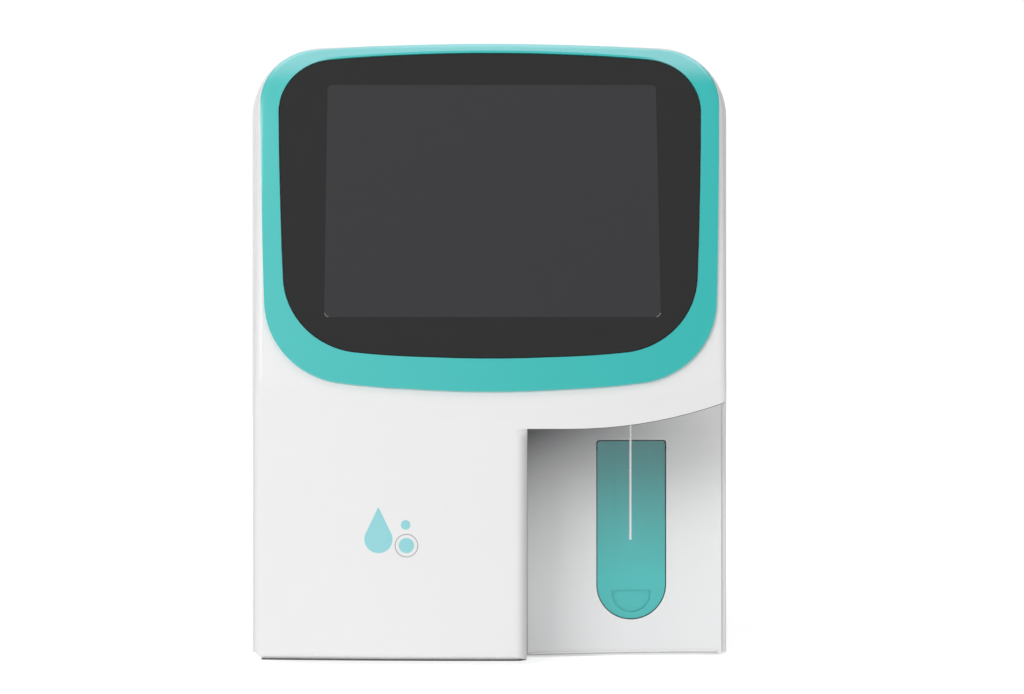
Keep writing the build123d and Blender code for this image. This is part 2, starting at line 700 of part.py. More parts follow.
with BuildPart() as door_catch:
    box(cover_half - 6, cover_half, door_front_y - 14, door_front_y - 1.5, catch_z - 10, catch_z + 10)
    box(cover_half - 6, cover_half - 0.3, door_front_y - 14, door_front_y + 8, catch_z - 10, catch_z + 10)
save(door_catch, "door_catch")

# Rear panel with its fan, power inlet, data sockets and reagent ports
fan_x = -75.0
fan_z = case_top - 112.0
vent_z = case_top - 57.0
fan_size = 60.0
fan_deep = 15.0
fan_bore = 28.0
inlet_x = 42.0 - half_case
inlet_z = 62.0
inlet_wide = 28.0
inlet_tall = 20.5
rocker_x = inlet_x + 50.0
rocker_wide = 12.0
rocker_tall = 26.0
socket_z = 150.0
usb_wide = 13.1
usb_tall = 5.7
lan_wide = 12.0
lan_tall = 8.5
usb_places = [(inlet_x + dx, socket_z + dz) for dx in (-8.0, 14.0) for dz in (-5.0, 5.0)]
lan_place = (inlet_x + 40.0, socket_z)
socket_bay_wide = 72.0
socket_bay_tall = 26.0
bay_mid_x = inlet_x + 15.5
socket_plate_thick = 1.5
socket_mouth_y = panel_y + 0.5
port_names = ("diluent_port", "lyse_port", "waste_port")
port_xs = (50.0, 78.0, 106.0)
port_z = 235.0
port_thread = 5.0
spigot_radius = 3.0
panel_gap = 0.5
panel_shape = case_outline(front_plane(panel_y + sheet), cover_half - panel_gap, base_top, case_top - cover_wall
                           - panel_gap, cover_corner - cover_wall - panel_gap, 1.0)
with BuildPart() as rear_panel:
    extrude(panel_shape, amount=sheet)
    with BuildSketch(front_plane(panel_y + sheet + 1)) as panel_holes:
        with Locations((fan_x, fan_z)):
            Circle(fan_bore)
        with Locations((inlet_x, inlet_z)):
            Rectangle(inlet_wide, inlet_tall)
        with Locations((rocker_x, inlet_z)):
            Rectangle(rocker_wide + 2, rocker_tall + 2)
        with Locations((bay_mid_x, socket_z)):
            RectangleRounded(socket_bay_wide, socket_bay_tall, 2)
        with Locations(*[(x, port_z) for x in port_xs]):
            Circle(port_thread + screw_fit)
        with Locations(*boss_places):
            Circle(screw_radius + screw_fit)
        with Locations((fan_x, vent_z)):
            with GridLocations(10, 1, 7, 1):
                SlotOverall(26, 4, rotation=90)
    extrude(panel_holes.sketch, amount=sheet + 2, mode=Mode.SUBTRACT)
    box(divider_x + sheet, divider_x + 30, panel_y - 6, panel_y, base_top, base_top + sheet)
save(rear_panel, "rear_panel")
pan_screws("rear_screws", [(x, panel_y + sheet, z) for x, z in boss_places], 9.0, (0, 1, 0))

with BuildPart() as fan_frame:
    with BuildSketch(front_plane(panel_y)):
        with Locations((fan_x, fan_z)):
            RectangleRounded(fan_size, fan_size, 4)
            Circle(fan_bore, mode=Mode.SUBTRACT)
            with GridLocations(fan_size - 10, fan_size - 10, 2, 2):
                Circle(2.0, mode=Mode.SUBTRACT)
    extrude(amount=fan_deep)
    with BuildSketch(front_plane(panel_y - fan_deep + 2.5)) as spider:
        with Locations((fan_x, fan_z)):
            Circle(10)
            Rectangle(2 * fan_bore + 2, 3)
            Rectangle(3, 2 * fan_bore + 2)
            Circle(key_pin_radius + pin_fit, mode=Mode.SUBTRACT)
    extrude(spider.sketch, amount=2.5)
save(fan_frame, "fan_frame")

blade_count = 7
hub_radius = 11.0
blade_radius = 26.5
rotor_front = panel_y - fan_deep + 3.0
rotor_deep = 10.5
with BuildPart() as fan_rotor:
    rod(fan_x, rotor_front + rotor_deep, fan_z, hub_radius, rotor_deep, (0, -1, 0))
    rod(fan_x, rotor_front + 1, fan_z, key_pin_radius, 3.9, (0, -1, 0))
    for turn in range(blade_count):
        angle = 360 / blade_count * turn
        blade_plane = Plane(origin=(fan_x, rotor_front + rotor_deep / 2, fan_z),
                            x_dir=(-math.sin(math.radians(angle)), 0, math.cos(math.radians(angle))),
                            z_dir=(math.cos(math.radians(angle)), 0, math.sin(math.radians(angle))))
        with BuildSketch(blade_plane.offset(hub_radius - 1)) as blade:
            Rectangle(9.5, 1.4, rotation=38)
        extrude(blade.sketch, amount=blade_radius - hub_radius)
save(fan_rotor, "fan_rotor")

with BuildPart() as fan_guard:
    for radius in (8.0, 14.5, 21.0, 27.5):
        with BuildSketch(front_plane(panel_y + sheet)) as ring:
            with Locations((fan_x, fan_z)):
                Circle(radius + 0.8)
                Circle(radius - 0.8, mode=Mode.SUBTRACT)
        extrude(ring.sketch, amount=-1.6)
    with BuildSketch(front_plane(panel_y + sheet)) as spokes:
        with Locations((fan_x, fan_z)):
            Rectangle(70, 1.6, rotation=45)
            Rectangle(70, 1.6, rotation=-45)
            with GridLocations(fan_size - 10, fan_size - 10, 2, 2):
                Circle(3.2)
    extrude(spokes.sketch, amount=-1.6)
save(fan_guard, "fan_guard")

with BuildPart() as power_inlet:
    with BuildSketch(front_plane(panel_y + sheet)) as inlet_flange:
        with Locations((inlet_x, inlet_z)):
            RectangleRounded(inlet_wide + 10, inlet_tall + 7, 3)
    extrude(inlet_flange.sketch, amount=-2.5)
    box(inlet_x - inlet_wide / 2 + 0.3, inlet_x + inlet_wide / 2 - 0.3, panel_y - 20, panel_y + sheet,
        inlet_z - inlet_tall / 2 + 0.3, inlet_z + inlet_tall / 2 - 0.3)
    with BuildSketch(front_plane(panel_y + sheet + 3)) as cavity:
        with BuildLine():
            Polyline((inlet_x - 12, inlet_z - 8), (inlet_x + 12, inlet_z - 8), (inlet_x + 12, inlet_z + 3),
                     (inlet_x + 7.5, inlet_z + 8), (inlet_x - 7.5, inlet_z + 8), (inlet_x - 12, inlet_z + 3),
                     (inlet_x - 12, inlet_z - 8))
        make_face()
    extrude(cavity.sketch, amount=20, mode=Mode.SUBTRACT)
    for dx, dz in ((-7, -1.5), (0, 2.5), (7, -1.5)):
        box(inlet_x + dx - 1, inlet_x + dx + 1, panel_y - 16, panel_y - 1, inlet_z + dz - 2, inlet_z + dz + 2)
save(power_inlet, "power_inlet")

rocker_axis_y = panel_y + 1.0
with BuildPart() as switch_frame:
    with BuildSketch(front_plane(panel_y + sheet)) as bezel:
        with Locations((rocker_x, inlet_z)):
            RectangleRounded(rocker_wide + 6, rocker_tall + 6, 1.5)
    extrude(bezel.sketch, amount=-1.5)
    box(rocker_x - rocker_wide / 2 - 0.8, rocker_x + rocker_wide / 2 + 0.8, panel_y - 18, panel_y + sheet,
        inlet_z - rocker_tall / 2 - 0.8, inlet_z + rocker_tall / 2 + 0.8)
    box(rocker_x - rocker_wide / 2, rocker_x + rocker_wide / 2, panel_y - 12, panel_y + 9,
        inlet_z - rocker_tall / 2, inlet_z + rocker_tall / 2, Mode.SUBTRACT)
    rod(rocker_x - rocker_wide / 2 - 0.5, rocker_axis_y - 4, inlet_z, 1.0 + pin_fit, rocker_wide + 1, (1, 0, 0),
        Mode.SUBTRACT)
save(switch_frame, "switch_frame")

with BuildPart() as power_rocker:
    with BuildSketch(Plane.YZ.offset(rocker_x - rocker_wide / 2 + 0.35)) as profile:
        with BuildLine():
            Polyline((rocker_axis_y + 5.0, inlet_z - 11.2), (rocker_axis_y - 6, inlet_z - 9),
                     (rocker_axis_y - 6, inlet_z + 9), (rocker_axis_y + 5.0, inlet_z + 11.2))
            ThreePointArc((rocker_axis_y + 5.0, inlet_z + 11.2), (rocker_axis_y + 2.6, inlet_z),
                          (rocker_axis_y + 5.0, inlet_z - 11.2))
        make_face()
    extrude(profile.sketch, amount=rocker_wide - 0.7)
    rod(rocker_x - rocker_wide / 2 - 0.4, rocker_axis_y - 4, inlet_z, 1.0, rocker_wide + 0.8, (1, 0, 0))
save(power_rocker, "power_rocker")


def socket(x, z, wide, tall, wall, deep):
    """A rectangular metal socket let into the socket plate, inside the current part."""
    y = socket_mouth_y
    box(x - wide / 2 - wall, x + wide / 2 + wall, y - deep, y, z - tall / 2 - wall, z + tall / 2 + wall)
    box(x - wide / 2, x + wide / 2, y - deep + 1, y + 1, z - tall / 2, z + tall / 2, Mode.SUBTRACT)


with BuildPart() as socket_plate:
    with BuildSketch(front_plane(panel_y)) as plate_face:
        with Locations((bay_mid_x, socket_z)):
            RectangleRounded(socket_bay_wide + 8, socket_bay_tall + 8, 2)
        with Locations(*usb_places):
            Rectangle(usb_wide + 1.4, usb_tall + 1.4, mode=Mode.SUBTRACT)
        with Locations(lan_place):
            Rectangle(lan_wide + 2.4, lan_tall + 2.4, mode=Mode.SUBTRACT)
    extrude(plate_face.sketch, amount=socket_plate_thick)
save(socket_plate, "socket_plate")

with BuildPart() as usb_sockets:
    for x, z in usb_places:
        socket(x, z, usb_wide, usb_tall, 0.6, 14.0)
    for x, z in usb_places:
        box(x - 5.5, x + 5.5, socket_mouth_y - 14, socket_mouth_y - 3.5, z + 0.9, z + 2.4)
save(usb_sockets, "usb_sockets")

with BuildPart() as lan_socket:
    socket(lan_place[0], lan_place[1], lan_wide, lan_tall, 1.1, 16.0)
save(lan_socket, "lan_socket")

for name, x in zip(port_names, port_xs):
    with BuildPart() as port:
        with BuildSketch(front_plane(panel_y + sheet)) as hexagon:
            with Locations((x, port_z)):
                RegularPolygon(8.0, 6)
        extrude(hexagon.sketch, amount=-3)
        rod(x, panel_y - 8, port_z, port_thread, 10.5, (0, 1, 0))
        rod(x, panel_y + sheet + 3, port_z, spigot_radius, rear_reach_y - panel_y - sheet - 3, (0, 1, 0))
        rod(x, panel_y - 14, port_z, 2.2, 7, (0, 1, 0))
        with BuildSketch(front_plane(panel_y)) as nut:
            with Locations((x, port_z)):
                RegularPolygon(8.5, 6)
        extrude(nut.sketch, amount=3)
        rod(x, panel_y - 15, port_z, 1.4, 60, (0, 1, 0), Mode.SUBTRACT)
    save(port, name)

# Electronics on the left of the divider
board_x = divider_x - 8.0
board_thick = 1.6
board_front_y = -80.0
board_rear_y = 110.0
board_low = 70.0
board_high = 290.0
post_inset = 8.0
post_radius = 3.0
with BuildPart() as main_board:
    box(board_x - board_thick, board_x, board_front_y, board_rear_y, board_low, board_high)
save(main_board, "main_board")

with BuildPart() as board_posts:
    for y in (board_front_y + post_inset, board_rear_y - post_inset):
        for z in (board_low + post_inset, (board_low + board_high) / 2, board_high - post_inset):
            rod(board_x, y, z, post_radius, divider_x - board_x, (1, 0, 0))
save(board_posts, "board_posts")

# Processor, memory, transformer, two plug rows and a relay: middle in y and z, width, height and depth of each
board_blocks = ((-30, 220, 30, 30, 4), (20, 230, 22, 22, 3), (60, 130, 40, 18, 10), (-55, 120, 10, 60, 9),
                (90, 230, 10, 80, 9), (0, 100, 26, 16, 14))
with BuildPart() as board_parts:
    for y, z, wide, tall, thick in board_blocks:
        box(board_x - board_thick - thick, board_x - board_thick, y - wide / 2, y + wide / 2, z - tall / 2,
            z + tall / 2)
save(board_parts, "board_parts")

supply_left = 6.0 - base_half
supply_right = divider_x - 32.0
supply_front_y = 20.0
supply_long = 145.0
supply_tall = 38.0
terminal_long = 14.0
terminal_tall = 22.0
with BuildPart() as power_supply:
    box(supply_left, supply_right, supply_front_y, supply_front_y + supply_long, base_top, base_top + supply_tall)
    with BuildSketch(Plane.XY.offset(base_top + supply_tall)) as vents:
        with Locations(((supply_left + supply_right) / 2, supply_front_y + supply_long / 2)):
            with GridLocations(1, 9, 1, 10):
                SlotOverall(supply_right - supply_left - 32, 4)
    extrude(vents.sketch, amount=-4, mode=Mode.SUBTRACT)
    box(supply_left + 4, supply_right - 4, supply_front_y - terminal_long, supply_front_y, base_top,
        base_top + terminal_tall)
save(power_supply, "power_supply")

# Syringe drive on the right of the divider: two glass barrels, one yoke, a lead screw and its motor
wall_x = divider_x + sheet
syringe_x = 10.0
syringe_y = -40.0
barrel_pitch = 15.0
barrel_low = 190.0
barrel_long = 80.0
barrel_end = 2.0
nipple_radius = 1.6
nipple_bore = 0.7
nipple_long = 12.0
big_bore = 7.5
big_wall = 1.5
small_bore = 2.5
small_wall = 2.5
plunger_fit = 0.3
plunger_rods = (3.0, 1.5)
plunger_head = 7.0
drive_low = 60.0
drive_high = 300.0
drive_half = 35.0
drive_reach = 32.0
plate_thick = 4.0
yoke_low = 160.0
yoke_thick = 10.0
drive_radius = 4.0
drive_motor_tall = 38.0
barrels = ((syringe_y - barrel_pitch, big_bore, big_wall, plunger_rods[0]),
           (syringe_y + barrel_pitch, small_bore, small_wall, plunger_rods[1]))
with BuildPart() as syringe_frame:
    box(wall_x, wall_x + sheet, syringe_y - drive_half, syringe_y + drive_half, drive_low, drive_high)
    for z in (drive_low, barrel_low - plate_thick, barrel_low + barrel_long):
        box(wall_x, drive_reach, syringe_y - drive_half + 8, syringe_y + drive_half - 8, z, z + plate_thick)
    rod(syringe_x, syringe_y, drive_low - 1, drive_radius + pin_fit, barrel_low - drive_low + 2, (0, 0, 1),
        Mode.SUBTRACT)
    for y, bore, wall, rod_radius in barrels:
        rod(syringe_x, y, barrel_low - plate_thick - 1, rod_radius + 2 * plunger_fit, plate_thick + 2, (0, 0, 1),
            Mode.SUBTRACT)
        rod(syringe_x, y, barrel_low + barrel_long - 1, nipple_radius + screw_fit, plate_thick + 2, (0, 0, 1),
            Mode.SUBTRACT)
save(syringe_frame, "syringe_frame")

with BuildPart() as syringe_barrels:
    for y, bore, wall, rod_radius in barrels:
        rod(syringe_x, y, barrel_low, bore + wall, barrel_long, (0, 0, 1))
        rod(syringe_x, y, barrel_low + barrel_long - 1, nipple_radius, nipple_long + 1, (0, 0, 1))
        rod(syringe_x, y, barrel_low - 1, bore, barrel_long + 1 - barrel_end, (0, 0, 1), Mode.SUBTRACT)
        rod(syringe_x, y, barrel_low, nipple_bore, barrel_long + 2 * nipple_long, (0, 0, 1), Mode.SUBTRACT)
save(syringe_barrels, "syringe_barrels")

with BuildPart() as syringe_yoke:
    box(syringe_x - 8, syringe_x + 8, syringe_y - barrel_pitch - 8, syringe_y + barrel_pitch + 8, yoke_low,
        yoke_low + yoke_thick)
    fillet(syringe_yoke.edges().filter_by(Axis.Z), 4)
    rod(syringe_x, syringe_y, yoke_low - 1, drive_radius + pin_fit, yoke_thick + 2, (0, 0, 1), Mode.SUBTRACT)
save(syringe_yoke, "syringe_yoke")

head_low = barrel_low + barrel_long - barrel_end - 1 - plunger_head
with BuildPart() as syringe_plungers:
    for y, bore, wall, rod_radius in barrels:
        rod(syringe_x, y, yoke_low + yoke_thick, rod_radius, head_low - yoke_low - yoke_thick + 1, (0, 0, 1))
        rod(syringe_x, y, head_low, bore - plunger_fit, plunger_head, (0, 0, 1))
save(syringe_plungers, "syringe_plungers")

with BuildPart() as syringe_screw:
    rod(syringe_x, syringe_y, drive_low - 11, drive_radius, barrel_low - drive_low + 10, (0, 0, 1))
save(syringe_screw, "syringe_screw")

with BuildPart() as syringe_motor:
    with BuildSketch(Plane.XY.offset(drive_low - drive_motor_tall)):
        with Locations((syringe_x, syringe_y)):
            RectangleRounded(motor_size, motor_size, 5)
    extrude(amount=drive_motor_tall)
    rod(syringe_x, syringe_y, drive_low - 12, drive_radius + pin_fit, 14, (0, 0, 1), Mode.SUBTRACT)
save(syringe_motor, "syringe_motor")

# Counting baths in their screening box, open towards the side door
shield_front_y = 25.0
shield_rear_y = 125.0
shield_low = 170.0
shield_high = 270.0
shield_reach = 44.0
shield_wall = 1.5
bath_x = 13.0
bath_ys = (50.0, 100.0)
bath_low = 195.0
bath_high = 245.0
bath_radius = 15.0
bath_wall = 3.0
drain_radius = 3.0
with BuildPart() as bath_shield:
    box(wall_x, shield_reach, shield_front_y, shield_rear_y, shield_low, shield_high)
    box(wall_x + shield_wall, shield_reach + 1, shield_front_y + shield_wall, shield_rear_y - shield_wall,
        shield_low + shield_wall, shield_high - shield_wall, Mode.SUBTRACT)
save(bath_shield, "bath_shield")

with BuildPart() as cell_baths:
    for y in bath_ys:
        rod(bath_x, y, bath_low, bath_radius, bath_high - bath_low, (0, 0, 1))
        rod(bath_x, y, bath_high - bath_wall, bath_radius + 2, bath_wall, (0, 0, 1))
        rod(bath_x, y, shield_low + shield_wall, drain_radius, bath_low - shield_low, (0, 0, 1))
        rod(bath_x, y, bath_low + bath_wall, bath_radius - bath_wall, bath_high, (0, 0, 1), Mode.SUBTRACT)
save(cell_baths, "cell_baths")

# Valve block with two rows of solenoid valves
block_front_y = 20.0
block_rear_y = 130.0
block_low = 98.0
block_high = 142.0
block_face_x = 4.0
valve_side = 18.0
valve_long = 26.0
valve_pitch = 22.0
valve_rows = (block_low + valve_pitch / 2, block_high - valve_pitch / 2)
valve_places = [(block_front_y + valve_pitch * (i + 0.5), z) for i in range(5) for z in valve_rows]
with BuildPart() as valve_block:
    box(wall_x, block_face_x, block_front_y, block_rear_y, block_low, block_high)
    chamfer(valve_block.edges().filter_by(Axis.Y).sort_by(Axis.X)[-2:], 1.0)
save(valve_block, "valve_block")

with BuildPart() as solenoid_valves:
    for y, z in valve_places:
        box(block_face_x, block_face_x + valve_long, y - valve_side / 2, y + valve_side / 2, z - valve_side / 2,
            z + valve_side / 2)
        rod(block_face_x + valve_long, y, z, valve_side / 4, 4.0, (1, 0, 0))
save(solenoid_valves, "solenoid_valves")

# Diaphragm pumps and the vacuum vessel
pump_z = 46.0
pump_half = 16.0
pump_head = 20.0
pump_motor_radius = 14.0
pump_motor_long = 36.0
tube_radius = 2.2
tube_bore = 1.4
pump_port_x = wall_x + pump_head / 2
pump_port_top = pump_z + pump_half + 8.0
for name, y in (("diluent_pump", 45.0), ("waste_pump", 100.0)):
    with BuildPart() as pump:
        box(wall_x, wall_x + pump_head, y - pump_half, y + pump_half, pump_z - pump_half, pump_z + pump_half)
        fillet(pump.edges().filter_by(Axis.X), 3)
        rod(wall_x + pump_head, y, pump_z, pump_motor_radius, pump_motor_long, (1, 0, 0))
        rod(wall_x + pump_head + pump_motor_long, y, pump_z, 4.0, 3.0, (1, 0, 0))
        rod(pump_port_x, y, pump_z + pump_half - 1, tube_radius, pump_port_top - pump_z - pump_half + 1, (0, 0, 1))
        rod(pump_port_x, y, pump_z + pump_half, tube_bore, 20, (0, 0, 1), Mode.SUBTRACT)
    save(pump, name)

vessel_x = 6.0
vessel_y = 157.0
vessel_low = 90.0
vessel_high = 190.0
vessel_radius = 22.0
with BuildPart() as vacuum_vessel:
    rod(vessel_x, vessel_y, vessel_low, vessel_radius, vessel_high - vessel_low, (0, 0, 1))
    fillet(vacuum_vessel.edges(), 6)
    box(wall_x, vessel_x - vessel_radius + 6, vessel_y - 8, vessel_y + 8, vessel_low + 30, vessel_high - 30)
    for side in (-1, 1):
        rod(vessel_x, vessel_y + side * 9, vessel_high - 1, tube_radius, 9, (0, 0, 1))
save(vacuum_vessel, "vacuum_vessel")

# Reagent tubes from the rear ports
port_inner_y = panel_y - 14.0
waste_z = 84.0
diluent_z = 90.0
lyse_z = block_high + 14.0
diluent_x, lyse_x, waste_x = port_xs
tube_bend = 12.0
tube_routes = {
    "waste_tube": [(waste_x, port_inner_y, port_z), (waste_x, 150, port_z), (waste_x, 150, waste_z),
                   (waste_x, 100, waste_z), (pump_port_x, 100, waste_z), (pump_port_x, 100, pump_port_top)],
    "diluent_tube": [(diluent_x, port_inner_y, port_z), (diluent_x, 156, port_z), (diluent_x, 156, diluent_z),
                     (diluent_x, 45, diluent_z), (pump_port_x, 45, diluent_z), (pump_port_x, 45, pump_port_top)],
    "lyse_tube": [(lyse_x, port_inner_y, port_z), (lyse_x, 140, port_z), (lyse_x, 140, lyse_z),
                  (lyse_x, 115, lyse_z), (pump_port_x, 115, lyse_z), (pump_port_x, 115, block_high)],
}
for name, route in tube_routes.items():
    with BuildPart() as tube:
        with BuildLine() as path:
            FilletPolyline(*route, radius=tube_bend)
        with BuildSketch(Plane(origin=route[0], z_dir=(0, -1, 0))):
            Circle(tube_radius)
            Circle(tube_bore, mode=Mode.SUBTRACT)
        sweep(path=path.wires()[0])
    save(tube, name)
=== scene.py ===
import json
import math

import bmesh
import bpy
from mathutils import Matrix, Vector
from mathutils.bvhtree import BVHTree


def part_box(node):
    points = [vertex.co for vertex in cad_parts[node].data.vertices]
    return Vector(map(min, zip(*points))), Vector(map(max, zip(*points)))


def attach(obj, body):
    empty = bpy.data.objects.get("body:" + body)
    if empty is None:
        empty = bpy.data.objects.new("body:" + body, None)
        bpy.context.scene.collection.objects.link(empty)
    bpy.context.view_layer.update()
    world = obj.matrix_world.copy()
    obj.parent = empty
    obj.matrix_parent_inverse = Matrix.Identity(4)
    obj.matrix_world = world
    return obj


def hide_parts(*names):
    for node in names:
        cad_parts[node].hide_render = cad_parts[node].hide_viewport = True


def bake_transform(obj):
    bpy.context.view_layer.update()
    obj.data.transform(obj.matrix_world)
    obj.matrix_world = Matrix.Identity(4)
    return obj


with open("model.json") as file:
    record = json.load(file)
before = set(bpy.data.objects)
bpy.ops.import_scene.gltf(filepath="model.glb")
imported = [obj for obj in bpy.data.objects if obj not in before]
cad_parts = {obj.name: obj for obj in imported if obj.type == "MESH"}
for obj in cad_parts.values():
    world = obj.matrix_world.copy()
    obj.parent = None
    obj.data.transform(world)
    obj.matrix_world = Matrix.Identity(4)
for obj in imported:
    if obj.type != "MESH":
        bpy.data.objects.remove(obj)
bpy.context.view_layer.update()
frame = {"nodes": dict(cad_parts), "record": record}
MM = 0.001

# Camera: a long lens a little left of the middle, level with the screen's foot
CAMERA_PLACE = (-0.0178, -1.856, 0.200)
CAMERA_LENS = 93.4
CAMERA_SHIFT_X = 0.0488

# Screen slope, as the housing has it
SCREEN_LEAN = math.radians(16.0)
CHIN_Y, CHIN_Z = -205.0 * MM, 158.0 * MM
WINDOW_MID = (1.3 * MM, 140.8 * MM)
WINDOW_HALF = (105.6 * MM, 77.9 * MM)
WINDOW_CORNER = 3.0 * MM
TICK_WIDTH = 0.35 * MM

# Studio: the world's light, its white as seen, and each softbox with place, target, size and power
WORLD_LIGHT, WORLD_SEEN = 0.36, 1.05
SOFTBOXES = (("left_key", (-1.0, -1.75, 1.15), (0, -0.15, 0.16), (0.9, 0.8), 14.6),
             ("right_fill", (1.4, -1.6, 0.5), (0.05, -0.12, 0.15), (1.0, 1.0), 1.8),
             ("overhead", (0.0, -0.35, 1.5), (0, -0.1, 0.3), (1.8, 0.9), 7.0),
             ("rear_softbox", (-0.8, 2.2, 0.9), (0, 0.2, 0.2), (1.2, 1.2), 6.0))
FLOOR_HALF = 6.0
FLOOR_GLOW_REACH = (0.25, 0.90)
FLOOR_GLOW = (0.52, 0.95)
FLOOR_BOUNCE = 0.28

# Every finish varies by noise: its detail, its share of the roughness either way and the size of its bumps
NOISE_DETAIL = 4.0
ROUGHNESS_SHARE, ROUGHNESS_LEAST = 0.1, 0.02
BUMP_DISTANCE = 0.2 * MM

# Graded colour: painted shade in the bay and on the edge beside it, painted sheen and side shade on the ring,
# the key's fade to grey; where each fade starts and ends
# Painted shade on the bay wall: its fade up and across the wall, its strength, and the line of painted shadow
# in the left corner
LINER_SHADE_Z, LINER_SHADE_X = (0.020, 0.145), (0.024, 0.150)
LINER_SHADE_SHARE_X = (0.98, 0.24)
LINER_SHADE_LOW, LINER_SHADE_RISE, LINER_SHADE_POWER = 0.06, 0.95, 2.2
LINER_CORNER_SHADOW_X = 0.0243
KEY_FADE = (0.050, 0.148)
# Painted sheen on the ring's top roll, and painted shade darkening its right side
RING_SHEEN_Z = (0.368, 0.386)
RING_SIDE_SHADE_X = (-0.150, 0.150)
RING_EDGE_LINE = (1.2 * MM, 1.7 * MM)
RING_LINE_END = (0.096, 0.112)
GLASS_TOP, GLASS_TOP_BOW = 0.2410, 0.4555
# Painted shade on the housing's rounded edge left of the bay: its span across and up, a spare width and its
# strength
BAY_EDGE_X, BAY_EDGE_Z = (0.0160, 0.0235), (0.141, 0.149)
BAY_EDGE_SPARE = 2 * MM
BAY_EDGE_SHADE = 0.45

# Screen corners in the slope's own plane: half width, height, directions of the side and the end, radii
RING_CORNERS = (((0.1480, 0.2396), (-0.0177, -0.9998), (-0.9946, 0.1039), 0.0320, 0.0352),
                ((0.1395, 0.0283), (0.0630, 0.9980), (-0.9808, -0.1950), 0.0380, 0.0550))
GLASS_CORNERS = (((0.1358, 0.2322), (-0.0133, -0.9999), (-0.9924, 0.1232), 0.0265, 0.0355),
                 ((0.1273, 0.0460), (0.0777, 0.9970), (-0.9877, -0.1567), 0.0360, 0.0520))
CORNER_SLIDE = 60.0 * MM
SLOPE_MIDDLE = 0.14
OVER_SLOPE = 0.05
NUDGE_SHARE = 0.002
LEAST_SHIFT, WELD = 0.001 * MM, 0.002 * MM
SHARP_ANGLE = math.radians(30)

# Lead screws
THREAD_PITCH, THREAD_STARTS, THREAD_DEPTH = 2.0 * MM, 5, 0.5 * MM
SCREW_SIDES, RINGS_PER_PITCH = 40, 6
CREST_SLOPE, CREST_CUT = 2.2, 0.4

# Hose barbs: one barb is a closed loop of distance along the spigot and radius
PORTS = (("diluent_port", "port_green"), ("lyse_port", "port_yellow"), ("waste_port", "port_red"))
BARB_COUNT, BARB_START, BARB_PITCH = 3, 1.0 * MM, 2.2 * MM
BARB_LOOP = ((0, 2.95 * MM), (0.2 * MM, 3.1 * MM), (1.7 * MM, 3.5 * MM), (1.9 * MM, 3.4 * MM),
             (1.9 * MM, 2.95 * MM))

# Thin lines, the lip and under lines being dark lines of painted shadow: radius, how far behind the face and
# above the edge each lies, and where the face is probed
BEFORE_FRONT = -0.6
BLOCK_FRONT_Y = -0.14
LIP_X, LIP_Z, LIP_POINTS, LIP_HALVINGS = (0.0250, 0.1462), (0.125, 0.185), 49, 24
UNDER_X, FOOT_X, LINE_POINTS = (-0.1440, 0.0222), (0.0250, 0.1480), 41
LIP_RADIUS, LIP_BEHIND, LIP_ABOVE, LIP_PROBE = 0.45 * MM, 1.2 * MM, 0.05 * MM, 0.3 * MM
UNDER_RADIUS, UNDER_BEHIND, UNDER_ABOVE, UNDER_PROBE = 0.6 * MM, 1.5 * MM, -0.2 * MM, 3 * MM
FOOT_RADIUS, FOOT_BEHIND, FOOT_ABOVE, FOOT_PROBE = 0.3 * MM, -0.2 * MM, 0.3 * MM, 1 * MM
SILL_RADIUS, SILL_BEHIND, SILL_ABOVE = 0.6 * MM, -0.1 * MM, 1.4 * MM

# Printed motif on the lower left front: a drop, two discs and a ring, by place in X and Z and by radius
DROP_X, DROP_Z, DROP_RADIUS, DROP_TIP, DROP_POINTS = -0.0700, 0.0800, 0.0088, 2.3, 41
LARGE_DISC, SMALL_DISC = (-0.0525, 0.0760, 0.0048), (-0.0530, 0.0890, 0.0030)
RING_OUTSIDE, RING_INSIDE = (-0.0525, 0.0760, 0.0074), (-0.0525, 0.0760, 0.0068)
PRINT_LIFT, PRINT_CUTS = 0.06 * MM, 3

# Syringe barrels' marks and the valves' tabs
BARREL_X = 0.010
BARRELS = ((-0.055, 9.05 * MM), (-0.025, 5.05 * MM))
MARK_COUNT, MARK_START, MARK_PITCH, MARK_HALF = 13, 0.200, 5 * MM, 0.2 * MM
LONG_MARK, SHORT_MARK, MARK_STEPS = 0.9, 0.5, 12
VALVE_COUNT, VALVE_START, VALVE_PITCH, VALVE_ROWS = 5, 0.020, 0.022, (0.109, 0.131)
TAB_X, TAB_Z = (0.0299, 0.0360), (5.0 * MM, 5.8 * MM)
TAB_OFFSET, TAB_HALF, TAB_EDGE = 6 * MM, 1.4 * MM, 0.1 * MM


def add_camera():
    data = bpy.data.cameras.new("camera")
    data.lens = CAMERA_LENS
    data.shift_x = CAMERA_SHIFT_X
    camera = bpy.data.objects.new("camera", data)
    camera.location = CAMERA_PLACE
    camera.rotation_euler = (math.pi / 2, 0, 0)
    bpy.context.scene.collection.objects.link(camera)
    bpy.context.scene.camera = camera


def add_area_light(name, place, target, size, power):
    data = bpy.data.lights.new(name, "AREA")
    data.shape = "RECTANGLE"
    data.size, data.size_y = size
    data.energy = power
    light = bpy.data.objects.new(name, data)
    light.location = place
    aim = Vector(target) - Vector(place)
    light.rotation_euler = aim.to_track_quat("-Z", "Y").to_euler()
    bpy.context.scene.collection.objects.link(light)


def add_world():
    """White behind the object, and a softer white for the light that falls on it."""
    world = bpy.data.worlds.new("studio")
    bpy.context.scene.world = world
    world.use_nodes = True
    nodes, links = world.node_tree.nodes, world.node_tree.links
    background = nodes["Background"]
    background.inputs["Color"].default_value = (1.0, 1.0, 1.0, 1)
    rays = nodes.new("ShaderNodeLightPath")
    strength = ranged(nodes, links, rays.outputs["Is Camera Ray"], (0.0, 1.0), (WORLD_LIGHT, WORLD_SEEN),
                      smooth=False)
    links.new(strength, background.inputs["Strength"])


